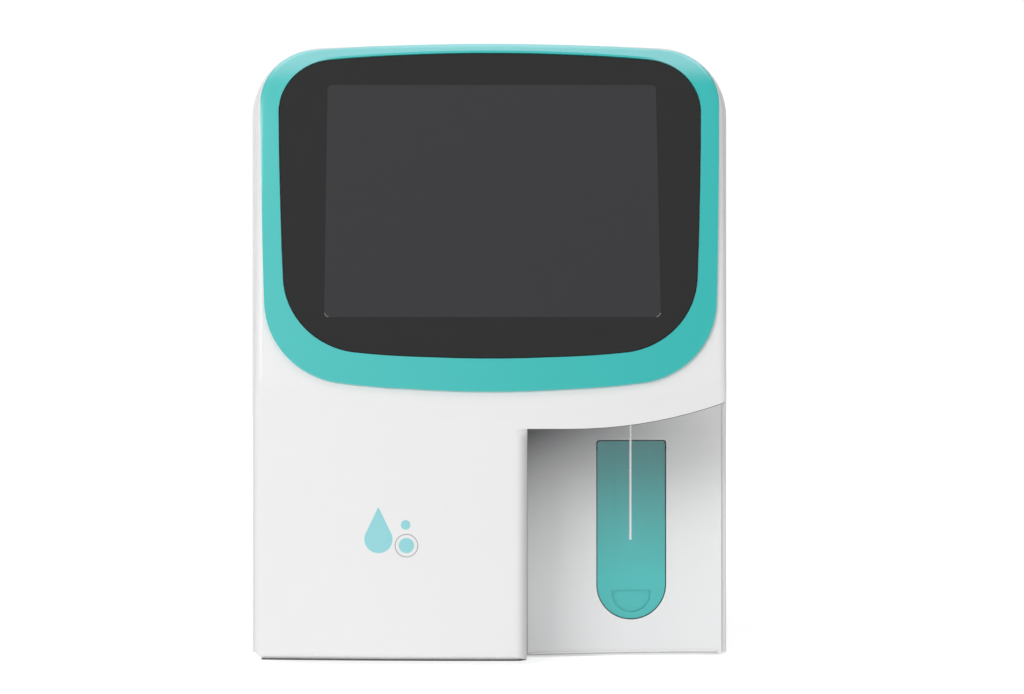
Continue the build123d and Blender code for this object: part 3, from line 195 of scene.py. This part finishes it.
def add_studio():
    """The softboxes and a pale floor that glows more away from the object."""
    add_world()
    for name, place, target, size, power in SOFTBOXES:
        add_area_light(name, place, target, size, power)
    bpy.context.scene.view_settings.view_transform = "Standard"
    mesh = bpy.data.meshes.new("floor")
    corners = [(x * FLOOR_HALF, y * FLOOR_HALF, 0) for x, y in ((-1, -1), (1, -1), (1, 1), (-1, 1))]
    mesh.from_pydata(corners, [], [(0, 1, 2, 3)])
    floor = bpy.data.objects.new("floor", mesh)
    bpy.context.scene.collection.objects.link(floor)
    paint = finish("floor_paint", (0.90, 0.90, 0.90), 0.85, grain=(3.0, 0.01, 0.0))
    shader = paint.node_tree.nodes["Principled BSDF"]
    shader.inputs["Emission Color"].default_value = (1, 1, 1, 1)
    nodes, links = paint.node_tree.nodes, paint.node_tree.links
    place = nodes.new("ShaderNodeTexCoord")
    away = nodes.new("ShaderNodeVectorMath")
    away.operation = "LENGTH"
    links.new(place.outputs["Object"], away.inputs[0])
    glow = ranged(nodes, links, away.outputs["Value"], FLOOR_GLOW_REACH, FLOOR_GLOW, smooth=False)
    rays = nodes.new("ShaderNodeLightPath")
    seen = math_node(nodes, links, "MULTIPLY", rays.outputs["Is Camera Ray"], glow)
    links.new(math_node(nodes, links, "MAXIMUM", seen, FLOOR_BOUNCE), shader.inputs["Emission Strength"])
    floor.data.materials.append(paint)


def finish(name, colour, roughness, metallic=0.0, grain=(400.0, 0.03, 0.02), specular=0.5, coat=0.0,
           coat_roughness=0.05, transmission=0.0, ior=1.5, brushed=None):
    """A finish whose colour, roughness and surface vary a little by noise of a given scale."""
    material = bpy.data.materials.new(name)
    material.use_nodes = True
    nodes, links = material.node_tree.nodes, material.node_tree.links
    shader = nodes["Principled BSDF"]
    shader.inputs["Metallic"].default_value = metallic
    shader.inputs["IOR"].default_value = ior
    shader.inputs["Specular IOR Level"].default_value = specular
    shader.inputs["Coat Weight"].default_value = coat
    shader.inputs["Coat Roughness"].default_value = coat_roughness
    shader.inputs["Transmission Weight"].default_value = transmission
    scale, variation, bump_height = grain
    place = nodes.new("ShaderNodeTexCoord")
    mapping = nodes.new("ShaderNodeMapping")
    mapping.inputs["Scale"].default_value = brushed or (1, 1, 1)
    links.new(place.outputs["Object"], mapping.inputs["Vector"])
    noise = nodes.new("ShaderNodeTexNoise")
    noise.inputs["Scale"].default_value = scale
    noise.inputs["Detail"].default_value = NOISE_DETAIL
    links.new(mapping.outputs["Vector"], noise.inputs["Vector"])
    tint = nodes.new("ShaderNodeMix")
    tint.data_type = "RGBA"
    tint.inputs["A"].default_value = (*[c * (1 - variation) for c in colour], 1)
    tint.inputs["B"].default_value = (*[min(1, c * (1 + variation)) for c in colour], 1)
    links.new(noise.outputs["Fac"], tint.inputs["Factor"])
    links.new(tint.outputs["Result"], shader.inputs["Base Color"])
    least = max(ROUGHNESS_LEAST, roughness * (1 - ROUGHNESS_SHARE))
    most = min(1.0, roughness * (1 + ROUGHNESS_SHARE))
    varied = ranged(nodes, links, noise.outputs["Fac"], (0.0, 1.0), (least, most), smooth=False)
    links.new(varied, shader.inputs["Roughness"])
    if bump_height:
        bump = nodes.new("ShaderNodeBump")
        bump.inputs["Strength"].default_value = bump_height
        bump.inputs["Distance"].default_value = BUMP_DISTANCE
        links.new(noise.outputs["Fac"], bump.inputs["Height"])
        links.new(bump.outputs["Normal"], shader.inputs["Normal"])
    return material


def math_node(nodes, links, operation, first, second=None):
    """One arithmetic node on sockets or numbers."""
    node = nodes.new("ShaderNodeMath")
    node.operation = operation
    for socket, value in zip(node.inputs, (first, second)):
        if value is None:
            continue
        if isinstance(value, (int, float)):
            socket.default_value = value
        else:
            links.new(value, socket)
    return node.outputs["Value"]


def ranged(nodes, links, value, span, result=(0.0, 1.0), smooth=True):
    """The first result below a span of values, the second above it and a fade between."""
    node = nodes.new("ShaderNodeMapRange")
    if smooth:
        node.interpolation_type = "SMOOTHSTEP"
    node.inputs["From Min"].default_value, node.inputs["From Max"].default_value = span
    node.inputs["To Min"].default_value, node.inputs["To Max"].default_value = result
    links.new(value, node.inputs["Value"])
    return node.outputs["Result"]


def colour_mix(nodes, links, factor, first, second):
    """A mix from the colour on a socket to one fixed colour."""
    node = nodes.new("ShaderNodeMix")
    node.data_type = "RGBA"
    links.new(factor, node.inputs["Factor"])
    links.new(first, node.inputs["A"])
    node.inputs["B"].default_value = second
    return node.outputs["Result"]


def painted(material):
    """A finish's nodes and links, its shader, its base colour socket and its split object coordinates."""
    nodes, links = material.node_tree.nodes, material.node_tree.links
    shader = nodes["Principled BSDF"]
    base = shader.inputs["Base Color"].links[0].from_socket
    place = nodes.new("ShaderNodeTexCoord")
    split = nodes.new("ShaderNodeSeparateXYZ")
    links.new(place.outputs["Object"], split.inputs["Vector"])
    return nodes, links, shader, base, split


def slope_height(nodes, links, split):
    """How far up the screen slope a point lies, from its split object coordinates."""
    back = math_node(nodes, links, "SUBTRACT", split.outputs["Y"], CHIN_Y)
    rise = math_node(nodes, links, "SUBTRACT", split.outputs["Z"], CHIN_Z)
    return math_node(nodes, links, "ADD", math_node(nodes, links, "MULTIPLY", back, math.sin(SCREEN_LEAN)),
                     math_node(nodes, links, "MULTIPLY", rise, math.cos(SCREEN_LEAN)))


def screen_finish():
    """Black-backed glass with a slightly lighter window where the panel shows through."""
    material = finish("screen_glass", (0.0258, 0.0258, 0.0265), 0.06, grain=(60.0, 0.05, 0.0), specular=0.36,
                      ior=1.47)
    nodes, links, shader, border, split = painted(material)
    up_slope = slope_height(nodes, links, split)
    across = split.outputs["X"]

    def past_edge(value, middle, half):
        offset = math_node(nodes, links, "ABSOLUTE", math_node(nodes, links, "SUBTRACT", value, middle))
        inner = math_node(nodes, links, "SUBTRACT", offset, half - WINDOW_CORNER)
        return math_node(nodes, links, "MAXIMUM", inner, 0.0)

    dx = past_edge(across, WINDOW_MID[0], WINDOW_HALF[0])
    dv = past_edge(up_slope, WINDOW_MID[1], WINDOW_HALF[1])
    reach = math_node(nodes, links, "SQRT",
                      math_node(nodes, links, "ADD", math_node(nodes, links, "MULTIPLY", dx, dx),
                                math_node(nodes, links, "MULTIPLY", dv, dv)))
    inside = math_node(nodes, links, "LESS_THAN", reach, WINDOW_CORNER)
    window_grey, tick_grey = (0.0428, 0.0428, 0.0456, 1), (0.30, 0.30, 0.31, 1)
    panel = colour_mix(nodes, links, inside, border, window_grey)
    below = math_node(nodes, links, "LESS_THAN", up_slope, WINDOW_MID[1])
    at_edge = math_node(nodes, links, "GREATER_THAN", reach, WINDOW_CORNER - TICK_WIDTH)
    both_turn = math_node(nodes, links, "MULTIPLY", math_node(nodes, links, "GREATER_THAN", dx, TICK_WIDTH),
                          math_node(nodes, links, "GREATER_THAN", dv, TICK_WIDTH))
    tick = math_node(nodes, links, "MULTIPLY", math_node(nodes, links, "MULTIPLY", inside, below),
                     math_node(nodes, links, "MULTIPLY", at_edge, both_turn))
    links.new(colour_mix(nodes, links, tick, panel, tick_grey), shader.inputs["Base Color"])
    return material


def key_finish():
    """Teal that greys towards the top of the key."""
    material = finish("key_teal", (0.082, 0.545, 0.525), 0.10, grain=(1500.0, 0.02, 0.015))
    nodes, links, shader, teal, split = painted(material)
    height = ranged(nodes, links, split.outputs["Z"], KEY_FADE, smooth=False)
    grey_teal = (0.122, 0.245, 0.248, 1)
    links.new(colour_mix(nodes, links, height, teal, grey_teal), shader.inputs["Base Color"])
    return material


def liner_with_painted_shade():
    """Silver-white bay paint, finely brushed, with painted shade towards the top left under the lip and a
    dark line of painted shadow in the left inner corner.
    """
    material = finish("liner_white", (0.93, 0.93, 0.935), 0.40, grain=(900.0, 0.015, 0.05),
                      brushed=(0.05, 0.05, 1))
    nodes, links, shader, white, split = painted(material)
    # Painted shade: greyer towards the top under the lip and towards the left beside the front block
    rise = ranged(nodes, links, split.outputs["Z"], LINER_SHADE_Z, smooth=False)
    curve = math_node(nodes, links, "POWER", rise, LINER_SHADE_POWER)
    gained = math_node(nodes, links, "MULTIPLY", LINER_SHADE_RISE, curve)
    high = math_node(nodes, links, "ADD", LINER_SHADE_LOW, gained)
    near_left = ranged(nodes, links, split.outputs["X"], LINER_SHADE_X, LINER_SHADE_SHARE_X, smooth=False)
    dark = math_node(nodes, links, "MULTIPLY", high, near_left)
    painted_shade_grey, painted_corner_shadow_grey = (0.10, 0.10, 0.105, 1), (0.06, 0.06, 0.063, 1)
    shaded = colour_mix(nodes, links, dark, white, painted_shade_grey)
    # Painted shadow: a dark line along the bay's left inner corner
    corner_shadow = math_node(nodes, links, "LESS_THAN", split.outputs["X"], LINER_CORNER_SHADOW_X)
    links.new(colour_mix(nodes, links, corner_shadow, shaded, painted_corner_shadow_grey), shader.inputs["Base Color"])
    return material


def ring_with_painted_light():
    """Glossy teal with a painted sheen where the ring rolls over the top edge, and painted shade making its
    right side darker than its left.
    """
    material = finish("ring_teal", (0.078, 0.560, 0.535), 0.20, grain=(1500.0, 0.015, 0.01), coat=0.6,
                      coat_roughness=0.12)
    nodes, links, shader, teal, split = painted(material)
    across = split.outputs["X"]
    right_shade_teal, painted_sheen_teal = (0.036, 0.505, 0.480, 1), (0.25, 0.66, 0.67, 1)
    # Painted shade: the right side darker than the left, as lit from the left
    side_shaded = colour_mix(nodes, links, ranged(nodes, links, across, RING_SIDE_SHADE_X), teal, right_shade_teal)
    bow = math_node(nodes, links, "MULTIPLY", math_node(nodes, links, "POWER", across, 2.0), GLASS_TOP_BOW)
    bowed_height = math_node(nodes, links, "ADD", slope_height(nodes, links, split), bow)
    past_glass = math_node(nodes, links, "SUBTRACT", bowed_height, GLASS_TOP)
    in_corner = ranged(nodes, links, math_node(nodes, links, "ABSOLUTE", across), RING_LINE_END)
    off_line = math_node(nodes, links, "MAXIMUM", in_corner, ranged(nodes, links, past_glass, RING_EDGE_LINE))
    # Painted sheen: paler teal where the ring rolls over the top, kept off a line along the glass edge
    near_top = ranged(nodes, links, split.outputs["Z"], RING_SHEEN_Z)
    painted_sheen = math_node(nodes, links, "MULTIPLY", near_top, off_line)
    links.new(colour_mix(nodes, links, painted_sheen, side_shaded, painted_sheen_teal), shader.inputs["Base Color"])
    return material


def housing_with_painted_edge_shade():
    """White plastic, with painted shade on the rounded edge beside the bay."""
    material = finish("housing_white", (0.86, 0.853, 0.855), 0.38, grain=(1800.0, 0.006, 0.03))
    nodes, links, shader, white, split = painted(material)
    # Painted shade: greyer on the rounded edge left of the bay, below the lip
    near_edge = ranged(nodes, links, split.outputs["X"], BAY_EDGE_X)
    left_of_bay = math_node(nodes, links, "LESS_THAN", split.outputs["X"], BAY_EDGE_X[1] + BAY_EDGE_SPARE)
    below_lip = math_node(nodes, links, "SUBTRACT", 1.0, ranged(nodes, links, split.outputs["Z"], BAY_EDGE_Z))
    dark = math_node(nodes, links, "MULTIPLY", math_node(nodes, links, "MULTIPLY", near_edge, left_of_bay),
                     math_node(nodes, links, "MULTIPLY", below_lip, BAY_EDGE_SHADE))
    painted_edge_shade_grey = (0.30, 0.30, 0.31, 1)
    links.new(colour_mix(nodes, links, dark, white, painted_edge_shade_grey), shader.inputs["Base Color"])
    return material


def make_finishes():
    """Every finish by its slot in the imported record."""
    steel = dict(metallic=1.0, grain=(900.0, 0.06, 0.03))
    return {
        "housing_white": housing_with_painted_edge_shade(),
        "liner_white": liner_with_painted_shade(),
        "cover_white": finish("cover_white", (0.77, 0.77, 0.78), 0.45, grain=(2600.0, 0.01, 0.12)),
        "ring_teal": ring_with_painted_light(),
        "key_teal": key_finish(),
        "screen_glass": screen_finish(),
        "lcd_dark": finish("lcd_dark", (0.03, 0.03, 0.032), 0.4),
        "zinc_sheet": finish("zinc_sheet", (0.62, 0.63, 0.65), 0.38, brushed=(1, 12, 1), **steel),
        "board_green": finish("board_green", (0.02, 0.16, 0.06), 0.35, grain=(350.0, 0.3, 0.1), coat=0.3),
        "spring_steel": finish("spring_steel", (0.55, 0.55, 0.57), 0.25, **steel),
        "black_plastic": finish("black_plastic", (0.018, 0.018, 0.019), 0.45, grain=(1600.0, 0.15, 0.1)),
        "polished_steel": finish("polished_steel", (0.72, 0.73, 0.75), 0.14, **steel),
        "aluminium": finish("aluminium", (0.78, 0.79, 0.80), 0.28, brushed=(14, 1, 1), **steel),
        "motor_black": finish("motor_black", (0.02, 0.02, 0.022), 0.4, grain=(1200.0, 0.2, 0.1)),
        "needle_steel": finish("needle_steel", (0.86, 0.86, 0.87), 0.16, metallic=1.0,
                               grain=(300.0, 0.02, 0.0)),
        "clear_plastic": finish("clear_plastic", (0.88, 0.92, 0.93), 0.08, grain=(200.0, 0.02, 0.01),
                                transmission=0.75, ior=1.49),
        "foot_rubber": finish("foot_rubber", (0.02, 0.02, 0.02), 0.7, grain=(700.0, 0.2, 0.3)),
        "screw_steel": finish("screw_steel", (0.66, 0.66, 0.67), 0.3, **steel),
        "aluminium_sheet": finish("aluminium_sheet", (0.74, 0.75, 0.76), 0.36, brushed=(1, 10, 1), **steel),
        "panel_grey": finish("panel_grey", (0.62, 0.62, 0.63), 0.5, grain=(2200.0, 0.03, 0.25)),
        "socket_steel": finish("socket_steel", (0.66, 0.66, 0.67), 0.24, **steel),
        "port_green": finish("port_green", (0.06, 0.42, 0.14), 0.3, grain=(900.0, 0.04, 0.03)),
        "port_yellow": finish("port_yellow", (0.72, 0.55, 0.05), 0.3, grain=(900.0, 0.04, 0.03)),
        "port_red": finish("port_red", (0.55, 0.04, 0.04), 0.3, grain=(900.0, 0.04, 0.03)),
        "clear_glass": finish("clear_glass", (0.93, 0.96, 0.96), 0.04, grain=(200.0, 0.02, 0.0),
                              transmission=0.9, ior=1.5),
        # Dark grey, used for the lines of painted shadow under the lip and the front block
        "gap_grey": finish("gap_grey", (0.10, 0.10, 0.105), 0.6, grain=(900.0, 0.02, 0.0)),
        "tube_silicone": finish("tube_silicone", (0.80, 0.80, 0.77), 0.3, grain=(300.0, 0.05, 0.02),
                                transmission=0.4, ior=1.41),
    }


def dress_cad_nodes(finishes):
    """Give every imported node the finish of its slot."""
    slots = {row["node"]: row["material_slot"] for row in frame["record"]["subparts"]}
    for name, node in frame["nodes"].items():
        node.data.materials.clear()
        node.data.materials.append(finishes[slots[name]])


def add_piece(name, mesh_data, material, body, smooth=True, replaced=()):
    """A mesh from a bmesh, finished and riding on a body."""
    mesh = bpy.data.meshes.new(name)
    mesh_data.to_mesh(mesh)
    mesh_data.free()
    for face in mesh.polygons:
        face.use_smooth = smooth
    piece = bpy.data.objects.new(name, mesh)
    bpy.context.scene.collection.objects.link(piece)
    mesh.materials.append(material)
    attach(piece, body)
    if replaced:
        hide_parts(*replaced)


def threaded_rod(name, node, body, finishes):
    """A multi-start lead screw along Z in place of the plain bar."""
    low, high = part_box(node)
    middle = (Vector(low) + Vector(high)) / 2
    radius = (high[0] - low[0]) / 2
    step = THREAD_PITCH / RINGS_PER_PITCH
    rings = int((high[2] - low[2]) / step) + 1
    bm = bmesh.new()
    grid = []
    for i in range(rings + 1):
        z = min(low[2] + i * step, high[2])
        ring = []
        for k in range(SCREW_SIDES):
            turn = k / SCREW_SIDES
            phase = ((z - low[2]) / THREAD_PITCH - THREAD_STARTS * turn) % 1.0
            crest = min(1.0, max(0.0, CREST_SLOPE * abs(2 * phase - 1) - CREST_CUT))
            reach = radius - THREAD_DEPTH * (1 - crest)
            ring.append(bm.verts.new((middle.x + reach * math.cos(2 * math.pi * turn),
                                      middle.y + reach * math.sin(2 * math.pi * turn), z)))
        grid.append(ring)
    for lower, upper in zip(grid, grid[1:]):
        for k in range(SCREW_SIDES):
            after = (k + 1) % SCREW_SIDES
            bm.faces.new((lower[k], lower[after], upper[after], upper[k]))
    bm.faces.new(reversed(grid[0]))
    bm.faces.new(grid[-1])
    add_piece(name, bm, finishes["polished_steel"], body, replaced=(node,))


def key_return_spring(finishes):
    """The key's spring again: a copy of the imported coil in spring steel, in place of the imported node."""
    node = frame["nodes"]["key_spring"]
    piece = bpy.data.objects.new("key_spring_coil", node.data.copy())
    bpy.context.scene.collection.objects.link(piece)
    piece.matrix_world = node.matrix_world.copy()
    piece.data.materials.clear()
    piece.data.materials.append(finishes["spring_steel"])
    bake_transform(piece)
    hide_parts("key_spring")


def turned(bm, origin, axis, profile, sides=40):
    """Adds a ring of revolution; the profile is a closed loop of (distance along the axis, radius)."""
    axis = Vector(axis).normalized()
    across = axis.orthogonal().normalized()
    other = axis.cross(across)
    loops = []
    for k in range(sides):
        angle = 2 * math.pi * k / sides
        out = across * math.cos(angle) + other * math.sin(angle)
        loops.append([bm.verts.new(Vector(origin) + axis * d + out * r) for d, r in profile])
    count = len(profile)
    for k in range(sides):
        here, after = loops[k], loops[(k + 1) % sides]
        for i in range(count):
            j = (i + 1) % count
            bm.faces.new((here[i], here[j], after[j], after[i]))
    bmesh.ops.recalc_face_normals(bm, faces=bm.faces)


def port_barbs(finishes):
    """Raised hose barbs on each spigot at the rear."""
    for node, slot_name in PORTS:
        low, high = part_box(node)
        x, z = (low[0] + high[0]) / 2, (low[2] + high[2]) / 2
        bm = bmesh.new()
        for i in range(BARB_COUNT):
            turned(bm, (x, high[1] - BARB_START - BARB_PITCH * i, z), (0, -1, 0), BARB_LOOP)
        add_piece(node + "_barbs", bm, finishes[slot_name], "case")


def slope_place(point):
    """Across, up the slope and out of it, for a point on the screen slope."""
    up = (point.y - CHIN_Y) * math.sin(SCREEN_LEAN) + (point.z - CHIN_Z) * math.cos(SCREEN_LEAN)
    out = (point.z - CHIN_Z) * math.sin(SCREEN_LEAN) - (point.y - CHIN_Y) * math.cos(SCREEN_LEAN)
    return point.x, up, out


def slope_point(across, up, out):
    """The point that lies so far across, up and out of the screen slope."""
    return Vector((across, CHIN_Y + up * math.sin(SCREEN_LEAN) - out * math.cos(SCREEN_LEAN),
                   CHIN_Z + up * math.cos(SCREEN_LEAN) + out * math.sin(SCREEN_LEAN)))


def rounder(place, corner, side, end, old, new):
    """Where a point near a corner of one radius lies once the corner has another, and its depth inside."""
    corner, side, end = Vector(corner), Vector(side).normalized(), Vector(end).normalized()
    half = side.angle(end) / 2
    in_side = (end - side * end.dot(side)).normalized()
    in_end = (side - end * side.dot(end)).normalized()
    middle = (side + end).normalized()
    offset = place - corner
    arm = offset - middle * old / math.sin(half)
    old_reach = old / math.tan(half)
    if arm.dot(side) <= 0 and arm.dot(end) <= 0:
        depth = old - arm.length
        return corner + middle * new / math.sin(half) + arm.normalized() * (new - depth), depth
    if arm.dot(side) > 0 and (arm.dot(end) <= 0 or offset.dot(in_side) < offset.dot(in_end)):
        depth, way = offset.dot(in_side), side
    else:
        depth, way = offset.dot(in_end), end
    past = (offset.dot(way) - old_reach) / CORNER_SLIDE
    return place + way * (new - old) / math.tan(half) * max(0.0, 1 - past), depth


def surface_height(skin, across, up):
    """How far out of the slope a surface stands, or nothing where there is none."""
    start = slope_point(across, up, OVER_SLOPE)
    hit = skin.ray_cast(start, slope_point(across, up, 0.0) - start)[0]
    return slope_place(hit)[2] if hit else None


def rounder_place(point, skin, outlines):
    """Where a vertex goes once the corners are rounder, or nothing where it stays."""
    across, up, out = slope_place(point)
    sign = -1 if across < 0 else 1
    which = 0 if up > SLOPE_MIDDLE else 1
    place = Vector((abs(across), up))
    found = [rounder(place, *corners[which]) for corners in outlines]
    target = found[0][0]
    if len(found) == 2:
        from_outer, to_inner = max(0.0, found[0][1]), max(0.0, -found[1][1])
        share = from_outer / (from_outer + to_inner) if from_outer + to_inner else 0.0
        target = found[0][0].lerp(found[1][0], share)
    if (target - place).length < LEAST_SHIFT:
        return None
    if len(found) == 2:
        inward = (place - Vector((0, SLOPE_MIDDLE))) * -NUDGE_SHARE
        before = surface_height(skin, sign * (place.x + inward.x), up + inward.y)
        after = surface_height(skin, sign * target.x, target.y)
        if before is not None and after is not None:
            out += after - before
    return slope_point(sign * target.x, target.y, out)


def rounder_screen(finishes):
    """The glass and the ring again, with the wider corners of the real screen."""
    for name, slot_name, outlines in (("front_glass", "screen_glass", (GLASS_CORNERS,)),
                                      ("bezel_ring", "ring_teal", (RING_CORNERS, GLASS_CORNERS))):
        bm = bmesh.new()
        bm.from_mesh(frame["nodes"][name].data)
        bmesh.ops.remove_doubles(bm, verts=bm.verts, dist=WELD)
        skin = BVHTree.FromBMesh(bm)
        moved = [(vert, rounder_place(vert.co, skin, outlines)) for vert in bm.verts]
        for vert, target in moved:
            if target is not None:
                vert.co = target
        bmesh.ops.recalc_face_normals(bm, faces=bm.faces)
        for edge in bm.edges:
            edge.smooth = edge.calc_face_angle(0.0) < SHARP_ANGLE
        add_piece(name + "_rounder", bm, finishes[slot_name], "case", replaced=(name,))


def tube(bm, points, radius, sides=8):
    """A thin round line through points."""
    rings = []
    for i, point in enumerate(points):
        ahead = Vector(points[min(i + 1, len(points) - 1)]) - Vector(points[max(i - 1, 0)])
        ahead.normalize()
        across = ahead.cross(Vector((0, 0, 1)) if abs(ahead.z) < 0.9 else Vector((1, 0, 0))).normalized()
        other = ahead.cross(across)
        rings.append([bm.verts.new(Vector(point) + radius * (across * math.cos(a) + other * math.sin(a)))
                      for a in [2 * math.pi * k / sides for k in range(sides)]])
    for here, after in zip(rings, rings[1:]):
        for k in range(sides):
            bm.faces.new((here[k], here[(k + 1) % sides], after[(k + 1) % sides], after[k]))
    bm.faces.new(reversed(rings[0]))
    bm.faces.new(rings[-1])
    bmesh.ops.recalc_face_normals(bm, faces=bm.faces)


def node_surface(name):
    """A node's outside, to lay thin pieces on."""
    mesh = frame["nodes"][name].data
    return BVHTree.FromPolygons([v.co for v in mesh.vertices], [tuple(p.vertices) for p in mesh.polygons])


def front_hit(skin, x, z):
    """Where a line from the front meets a surface."""
    return skin.ray_cast(Vector((x, BEFORE_FRONT, z)), Vector((0, 1, 0)))[0]


def evenly(low, high, count):
    """Evenly spaced values from low to high."""
    return [low + (high - low) * i / (count - 1) for i in range(count)]


def lip_edge(skin):
    """Points just behind the lower edge of the lip over the bay."""
    points = []
    for x in evenly(*LIP_X, LIP_POINTS):
        low, high = LIP_Z
        for _ in range(LIP_HALVINGS):
            z = (low + high) / 2
            hit = front_hit(skin, x, z)
            if hit and hit.y < BLOCK_FRONT_Y:
                high = z
            else:
                low = z
        points.append((x, front_hit(skin, x, high + LIP_PROBE).y + LIP_BEHIND, high + LIP_ABOVE))
    return points


def shadow_and_sill_lines(finishes):
    """Dark lines of painted shadow under the bay's lip and under the front block, and the bay's sill with the
    line below it.
    """
    block, wall = node_surface("front_housing"), node_surface("bay_liner")
    block_z, sill_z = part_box("front_housing")[0][2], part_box("bay_liner")[0][2]
    bm = bmesh.new()
    # Painted shadow: dark tubes in the shade under the lip and under the front block
    tube(bm, lip_edge(block), LIP_RADIUS)
    tube(bm, [(x, front_hit(block, x, block_z + UNDER_PROBE).y + UNDER_BEHIND, block_z + UNDER_ABOVE)
              for x in evenly(*UNDER_X, LINE_POINTS)], UNDER_RADIUS)
    add_piece("shadow_lines", bm, finishes["gap_grey"], "case")
    hits = [(x, front_hit(wall, x, sill_z + FOOT_PROBE)) for x in evenly(*FOOT_X, LINE_POINTS)]
    feet = [(x, hit.y) for x, hit in hits if hit]
    bm = bmesh.new()
    tube(bm, [(x, y + FOOT_BEHIND, sill_z + FOOT_ABOVE) for x, y in feet], FOOT_RADIUS)
    add_piece("bay_foot_line", bm, finishes["panel_grey"], "case")
    bm = bmesh.new()
    tube(bm, [(x, y + SILL_BEHIND, sill_z + SILL_ABOVE) for x, y in feet], SILL_RADIUS)
    sill_white = finish("sill_white", (0.96, 0.96, 0.96), 0.3, grain=(900.0, 0.01, 0.0))
    add_piece("bay_sill", bm, sill_white, "case")


def printed_shape(name, outline, holes, material, surface):
    """A flat print on the housing: an outline in X and Z, filled and laid on the curved front."""
    bm = bmesh.new()
    edges = []
    for loop in [outline] + holes:
        verts = [bm.verts.new((x, 0, z)) for x, z in loop]
        edges += [bm.edges.new((a, b)) for a, b in zip(verts, verts[1:] + verts[:1])]
    bmesh.ops.triangle_fill(bm, edges=edges, use_beauty=True)
    bmesh.ops.subdivide_edges(bm, edges=bm.edges[:], cuts=PRINT_CUTS, use_grid_fill=True)
    for vert in bm.verts:
        vert.co.y = front_hit(surface, vert.co.x, vert.co.z).y - PRINT_LIFT
    bmesh.ops.recalc_face_normals(bm, faces=bm.faces)
    add_piece(name, bm, material, "case", smooth=False)


def circle(x, z, radius, count=40):
    """A round outline in X and Z."""
    angles = [2 * math.pi * k / count for k in range(count)]
    return [(x + radius * math.cos(a), z + radius * math.sin(a)) for a in angles]


def generic_motif():
    """A plain motif of a drop, two discs and a thin ring on the lower left front."""
    surface = node_surface("front_housing")
    teal = finish("print_teal", (0.30, 0.68, 0.72), 0.45, grain=(1500.0, 0.02, 0.0))
    grey = finish("print_grey", (0.42, 0.42, 0.43), 0.45, grain=(1500.0, 0.02, 0.0))
    flank = math.asin(1 / DROP_TIP)
    angles = evenly(math.pi / 2 - flank, 3 * math.pi / 2 + flank, DROP_POINTS)
    drop = [(DROP_X + DROP_RADIUS * math.sin(a), DROP_Z + DROP_RADIUS * math.cos(a)) for a in angles]
    drop.append((DROP_X, DROP_Z + DROP_TIP * DROP_RADIUS))
    printed_shape("motif_drop", drop, [], teal, surface)
    printed_shape("motif_disc_large", circle(*LARGE_DISC), [], teal, surface)
    printed_shape("motif_disc_small", circle(*SMALL_DISC), [], teal, surface)
    printed_shape("motif_ring", circle(*RING_OUTSIDE), [circle(*RING_INSIDE)], grey, surface)


def barrel_marks(finishes):
    """Printed graduation lines round the front of the two glass barrels."""
    bm = bmesh.new()
    for y, radius in BARRELS:
        for i in range(MARK_COUNT):
            z = MARK_START + i * MARK_PITCH
            reach = LONG_MARK if i % 2 == 0 else SHORT_MARK
            strip = []
            for angle in evenly(-reach / 2, reach / 2, MARK_STEPS + 1):
                place_x, place_y = BARREL_X + radius * math.cos(angle), y + radius * math.sin(angle)
                strip.append([bm.verts.new((place_x, place_y, z + dz)) for dz in (-MARK_HALF, MARK_HALF)])
            for a, b in zip(strip, strip[1:]):
                bm.faces.new((a[0], b[0], b[1], a[1]))
    add_piece("barrel_marks", bm, finishes["black_plastic"], "case", smooth=False)


def beveled_box(bm, low, high, edge):
    """Adds a box between two corners, with rounded edges."""
    made = bmesh.ops.create_cube(bm, size=1.0)["verts"]
    size = [b - a for a, b in zip(low, high)]
    for vert in made:
        vert.co = Vector([(a + b) / 2 + c * s for a, b, c, s in zip(low, high, vert.co, size)])
    edges = list({e for v in made for e in v.link_edges})
    bmesh.ops.bevel(bm, geom=edges, offset=edge, segments=2, affect="EDGES", profile=0.7)


def valve_terminals(finishes):
    """Two spade tabs on each solenoid valve."""
    bm = bmesh.new()
    for i in range(VALVE_COUNT):
        y = VALVE_START + VALVE_PITCH * (i + 0.5)
        for z in VALVE_ROWS:
            for middle in (y - TAB_OFFSET, y + TAB_OFFSET):
                beveled_box(bm, (TAB_X[0], middle - TAB_HALF, z + TAB_Z[0]),
                            (TAB_X[1], middle + TAB_HALF, z + TAB_Z[1]), TAB_EDGE)
    add_piece("valve_terminals", bm, finishes["socket_steel"], "case", smooth=False)


add_camera()
add_studio()
finishes = make_finishes()
dress_cad_nodes(finishes)
threaded_rod("lift_screw_thread", "lift_screw", "lift_screw", finishes)
threaded_rod("syringe_screw_thread", "syringe_screw", "syringe_screw", finishes)
barrel_marks(finishes)
valve_terminals(finishes)
port_barbs(finishes)
key_return_spring(finishes)
rounder_screen(finishes)
shadow_and_sill_lines(finishes)
generic_motif()
